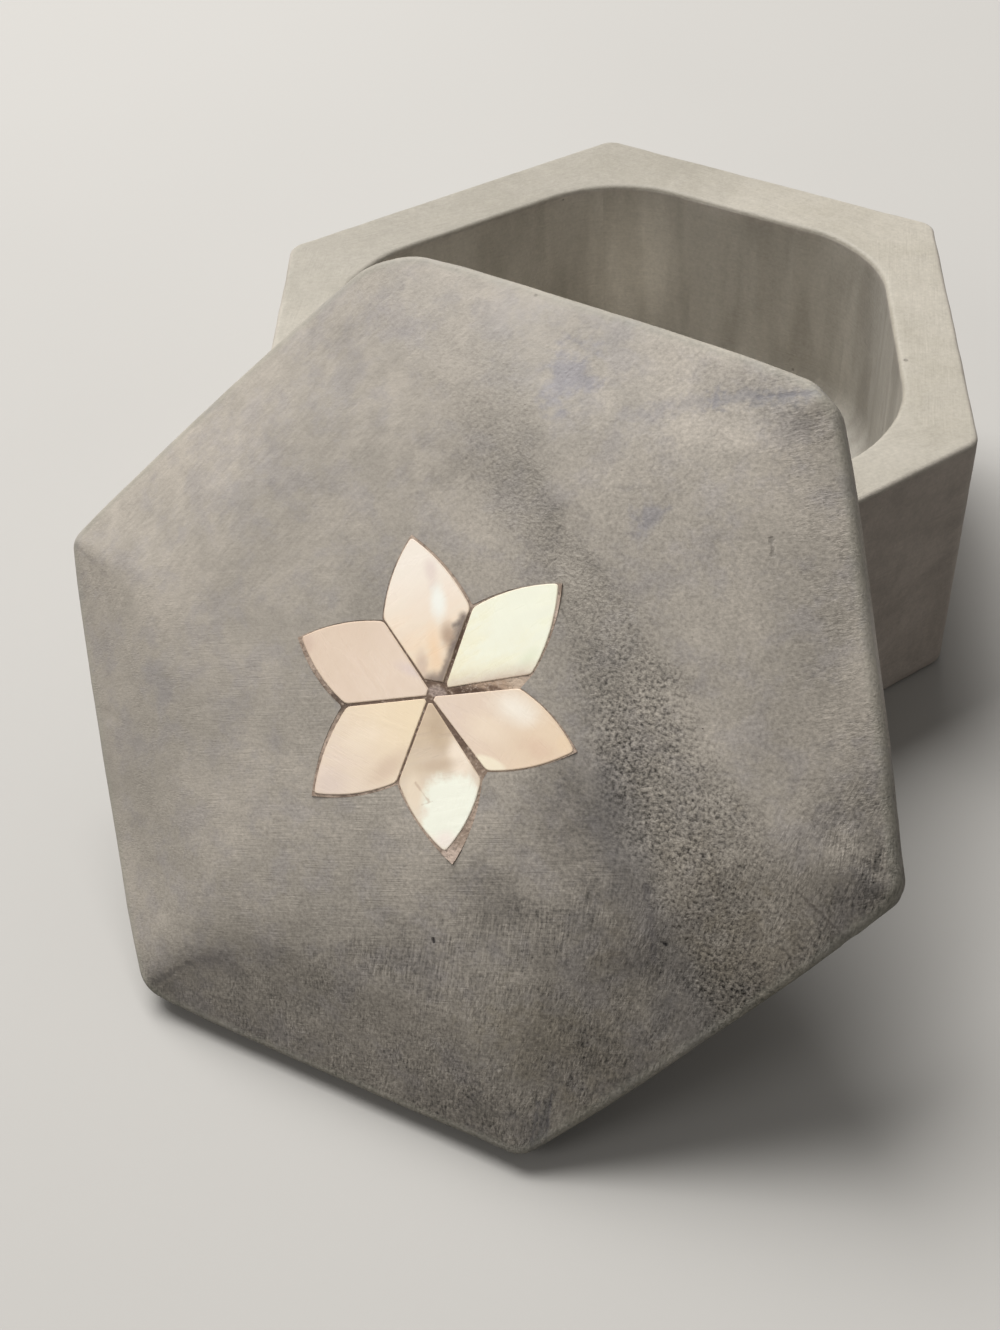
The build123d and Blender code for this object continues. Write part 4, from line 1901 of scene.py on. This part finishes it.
PETAL_FINISHES = (
    ShellFinish(root=(250, 242, 206), tip=(255, 254, 226), sheen=(255, 255, 238), rim=(240, 220, 196),
                turn=0.2, layers=0.45, flush=0.0, patches=(
                    Patch((8.6, 0.6), (4.6, 2.6), (255, 255, 232), 0.8),
                    Patch((7.9, -2.8), (1.4, 0.8), (236, 240, 206), 0.6, 0.9, 0.1),
                    Patch((12.0, -2.0), (1.6, 0.7), (222, 190, 174), 0.6, 0.9, 0.1)),
                scores=(Score((1.4, -0.5), (7.3, -4.0), 1.5, 0.62, (204, 176, 156), 0.1, 0.06),
                        Score((3.0, -1.6), (7.0, -3.8), 0.5, 0.5, (178, 146, 122), 0.3, 0.1))),
    ShellFinish(root=(246, 216, 178), tip=(255, 242, 226), sheen=(255, 244, 226), turn=1.2, layers=0.3,
                flush=0.1, patches=(
                    Patch((9.2, -1.3), (1.9, 0.8), (236, 216, 204), 0.75, 0.9, 0.1),
                    # Painted highlight: a near-white patch of reflected light on the polished shell.
                    Patch((7.0, -1.6), (2.2, 1.0), (255, 255, 244), 0.9, 0.9, 0.1),
                    Patch((3.4, -0.8), (2.6, 0.9), (250, 210, 164), 0.65, 1.0, 0.06),
                    Patch((2.4, 0.4), (1.8, 0.8), (196, 168, 150), 0.6, 0.9, 0.1),
                    Patch((0.9, -0.4), (1.3, 1.1), (112, 86, 70), 0.9, 0.8, 0.06),
                    Patch((4.3, -2.1), (1.7, 1.0), (170, 136, 104), 0.85, 0.9, 0.06)),
                scores=(Score((5.5, -3.5), (3.4, -2.5), 0.7, 0.9, (88, 62, 42), 0.3, 0.08),
                        Score((3.6, -2.5), (1.0, -1.0), 0.62, 0.85, (100, 74, 54), 0.3, 0.08),
                        Score((5.1, -3.0), (5.0, -2.7), 0.4, 0.8, (84, 60, 40), 0.3, 0.1))),
    ShellFinish(root=(236, 212, 188), tip=(230, 204, 178), sheen=(238, 214, 188), turn=0.5, layers=0.2,
                flush=0.08, patches=(Patch((11.4, 0.4), (1.0, 1.4), (210, 178, 156), 0.6, 0.9, 0.1),
                                     Patch((2.2, -1.2), (2.2, 0.7), (226, 204, 194), 0.7, 0.9, 0.1))),
    ShellFinish(root=(248, 224, 184), tip=(236, 214, 194), sheen=(248, 228, 196), turn=0.9, layers=0.25,
                flush=0.04, patches=(
                    Patch((11.0, 0.3), (2.6, 1.8), (222, 200, 184), 0.6, 0.9, 0.06),
                    Patch((6.7, -0.9), (2.6, 1.6), (250, 230, 202), 0.5, 0.9, 0.1),
                    Patch((6.2, 2.2), (3.0, 1.3), (222, 194, 166), 0.8, 0.9, 0.06))),
    ShellFinish(root=(200, 172, 138), tip=(252, 240, 220), sheen=(230, 206, 172), turn=1.5, layers=0.5,
                flush=0.08, patches=(
                    Patch((2.7, 0.4), (2.4, 1.2), (190, 162, 126), 0.6, 0.9, 0.1),
                    Patch((4.9, 2.0), (2.2, 1.4), (255, 236, 212), 0.95, 0.7, 0.06),
                    Patch((5.3, 0.2), (0.7, 2.6), (200, 172, 142), 0.6, 0.9, 0.1),
                    # Painted highlight: a near-white patch of reflected light on the polished shell.
                    Patch((8.9, 1.0), (3.3, 3.0), (255, 255, 236), 1.0, 0.3, 0.08),
                    Patch((7.2, -2.1), (2.0, 1.0), (246, 226, 198), 0.8, 0.7, 0.06),
                    Patch((11.0, 0.1), (1.0, 1.4), (252, 234, 222), 0.7, 0.9, 0.1)),
                scores=(Score((6.5, -1.9), (8.0, -0.9), 0.14, 0.5, (188, 152, 120), 0.3),
                        Score((8.2, -1.5), (8.0, -0.6), 0.12, 0.4, (190, 160, 130), 0.3))),
    ShellFinish(root=(232, 208, 186), tip=(240, 212, 178), sheen=(250, 228, 198), turn=0.3, layers=0.25,
                flush=0.05, patches=(
                    Patch((6.9, 1.4), (3.0, 1.8), (255, 244, 226), 0.95, 0.9, 0.06),
                    Patch((5.2, -0.8), (2.6, 1.6), (250, 228, 200), 0.7, 0.9, 0.06),
                    Patch((9.4, -0.8), (2.4, 1.2), (230, 196, 166), 0.7, 0.9, 0.1),
                    Patch((6.3, -3.2), (1.8, 0.7), (255, 240, 210), 1.0, 0.5, 0.06),
                    Patch((11.4, 0.3), (0.9, 0.9), (246, 216, 178), 0.7, 0.8, 0.1))))


# Studio


@dataclass(frozen=True)
class Lamp:
    """A square lamp that faces the object. Its level is what it casts on a white sheet there."""

    name: str
    direction: tuple[float, float, float]
    distance: float
    size: float
    level: float

    def hang(self) -> bpy.types.Object:
        """Hang the lamp in its place.

        Returns:
            The lamp.
        """
        data = bpy.data.lights.new(self.name, "AREA")
        data.shape = "SQUARE"
        data.size = self.size
        data.energy = self.level * pi * pi * self.distance ** 2
        lamp = stand(self.name, data)
        towards = Vector(self.direction).normalized()
        aim = towards.to_track_quat("Z", "Y").to_matrix().to_4x4()
        lamp.matrix_world = Matrix.Translation(towards * self.distance) @ aim
        return lamp


@dataclass
class Studio:
    """A pale floor, soft light from behind and above, and the photograph's camera."""

    camera_place: tuple[float, float, float] = (-6.8, -146.3, 126.9)
    yaw: float = 2.32
    pitch: float = 44.34
    roll: float = 3.28
    focal_pixels: float = 1832.6
    photo_height: int = 1330
    floor_tone: Tone = (184, 181, 176)
    floor_seen: Tone = (128, 126, 122)
    floor_mottle: float = 5.0
    backdrop_tone: Tone = (226, 224, 220)
    floor_fade: Pair = (0.24, 0.7)
    sky: float = 0.2
    sky_tone: tuple[float, ...] = (1, 0.99, 0.97, 1)
    lamps: tuple[Lamp, ...] = (Lamp("window", (-0.3, 0.4, 0.87), 1.2, 0.8, 1.5),
                               Lamp("panel", (-0.685, -0.449, 0.573), 1.2, 0.4, 0.1))

    def camera(self) -> bpy.types.Object:
        """Stand the camera where the photograph was taken from.

        Returns:
            The camera.
        """
        aim = Matrix.Rotation(radians(self.yaw), 4, "Z")
        aim = aim @ Matrix.Rotation(radians(90 - self.pitch), 4, "X")
        aim = aim @ Matrix.Rotation(radians(-self.roll), 4, "Z")
        data = bpy.data.cameras.new("camera")
        data.lens = self.focal_pixels / self.photo_height * data.sensor_width
        data.clip_start = 0.005
        camera = stand("camera", data)
        camera.matrix_world = Matrix.Translation(Vector(self.camera_place) * MM) @ aim
        bpy.context.scene.camera = camera
        return camera

    def floor(self) -> bpy.types.Object:
        """Lay the floor under the object.

        Returns:
            The floor.
        """
        mesh = bmesh.new()
        bmesh.ops.create_grid(mesh, x_segments=2, y_segments=2, size=3.0)
        data = frozen("floor", mesh)
        floor = stand("floor", data)
        material = bpy.data.materials.new("floor_paint")
        bench = Bench.clear(material)
        place = bench.add("TexCoord").outputs["Object"]
        mottle = bench.ease(bench.noise(place, 0.3, 4.0), 0.3, 0.7)
        darker = tuple(level - self.floor_mottle for level in self.floor_tone)
        colour = bench.lay(mottle, self.floor_tone, darker)
        seen = bench.add("LightPath").outputs["Is Camera Ray"]
        colour = bench.lay(seen, self.floor_seen, colour)
        body = bench.add("BsdfPrincipled", {"Base Color": colour, "Roughness": 0.8}).outputs[0]
        far = bench.ease(bench.vector("LENGTH", place).outputs[1], *self.floor_fade)
        veil = bench.add("Emission", {"Color": linear(self.backdrop_tone), "Strength": 1.0}).outputs[0]
        mixed = bench.add("MixShader", {0: bench.times(far, seen), 1: body, 2: veil})
        bench.add("OutputMaterial", {"Surface": mixed.outputs[0]})
        data.materials.append(material)
        return floor

    def light(self) -> None:
        """Hang the lamps and light the world."""
        for lamp in self.lamps:
            lamp.hang()
        world = bpy.data.worlds.new("studio")
        bpy.context.scene.world = world
        bench = Bench.clear(world)
        sky = bench.add("Background", {"Color": self.sky_tone, "Strength": self.sky}).outputs[0]
        backdrop = bench.add("Background", {"Color": linear(self.backdrop_tone)}).outputs[0]
        seen = bench.add("LightPath").outputs["Is Camera Ray"]
        mixed = bench.add("MixShader", {0: seen, 1: sky, 2: backdrop}).outputs[0]
        bench.add("OutputWorld", {"Surface": mixed})


def main() -> None:
    """Build the box, the lid, the flower and the studio."""
    logging.basicConfig(level=logging.INFO, format="%(name)s: %(message)s")
    bpy.context.scene.view_settings.view_transform = "Standard"
    outline = HandCutHexagon()
    leaning = LeaningPlace(outline)
    turn = leaning.foot_turn()
    CarvedBox(outline).build()
    lid = DomedLid(outline.turned(-turn * 180 / pi), leaning.matrix(), forward_turn=-turn)
    lid.build()
    lid.bed()
    lid.petals(PETAL_FINISHES)
    studio = Studio()
    studio.camera()
    studio.floor()
    studio.light()
    bpy.context.view_layer.update()


if __name__ == "__main__":
    main()
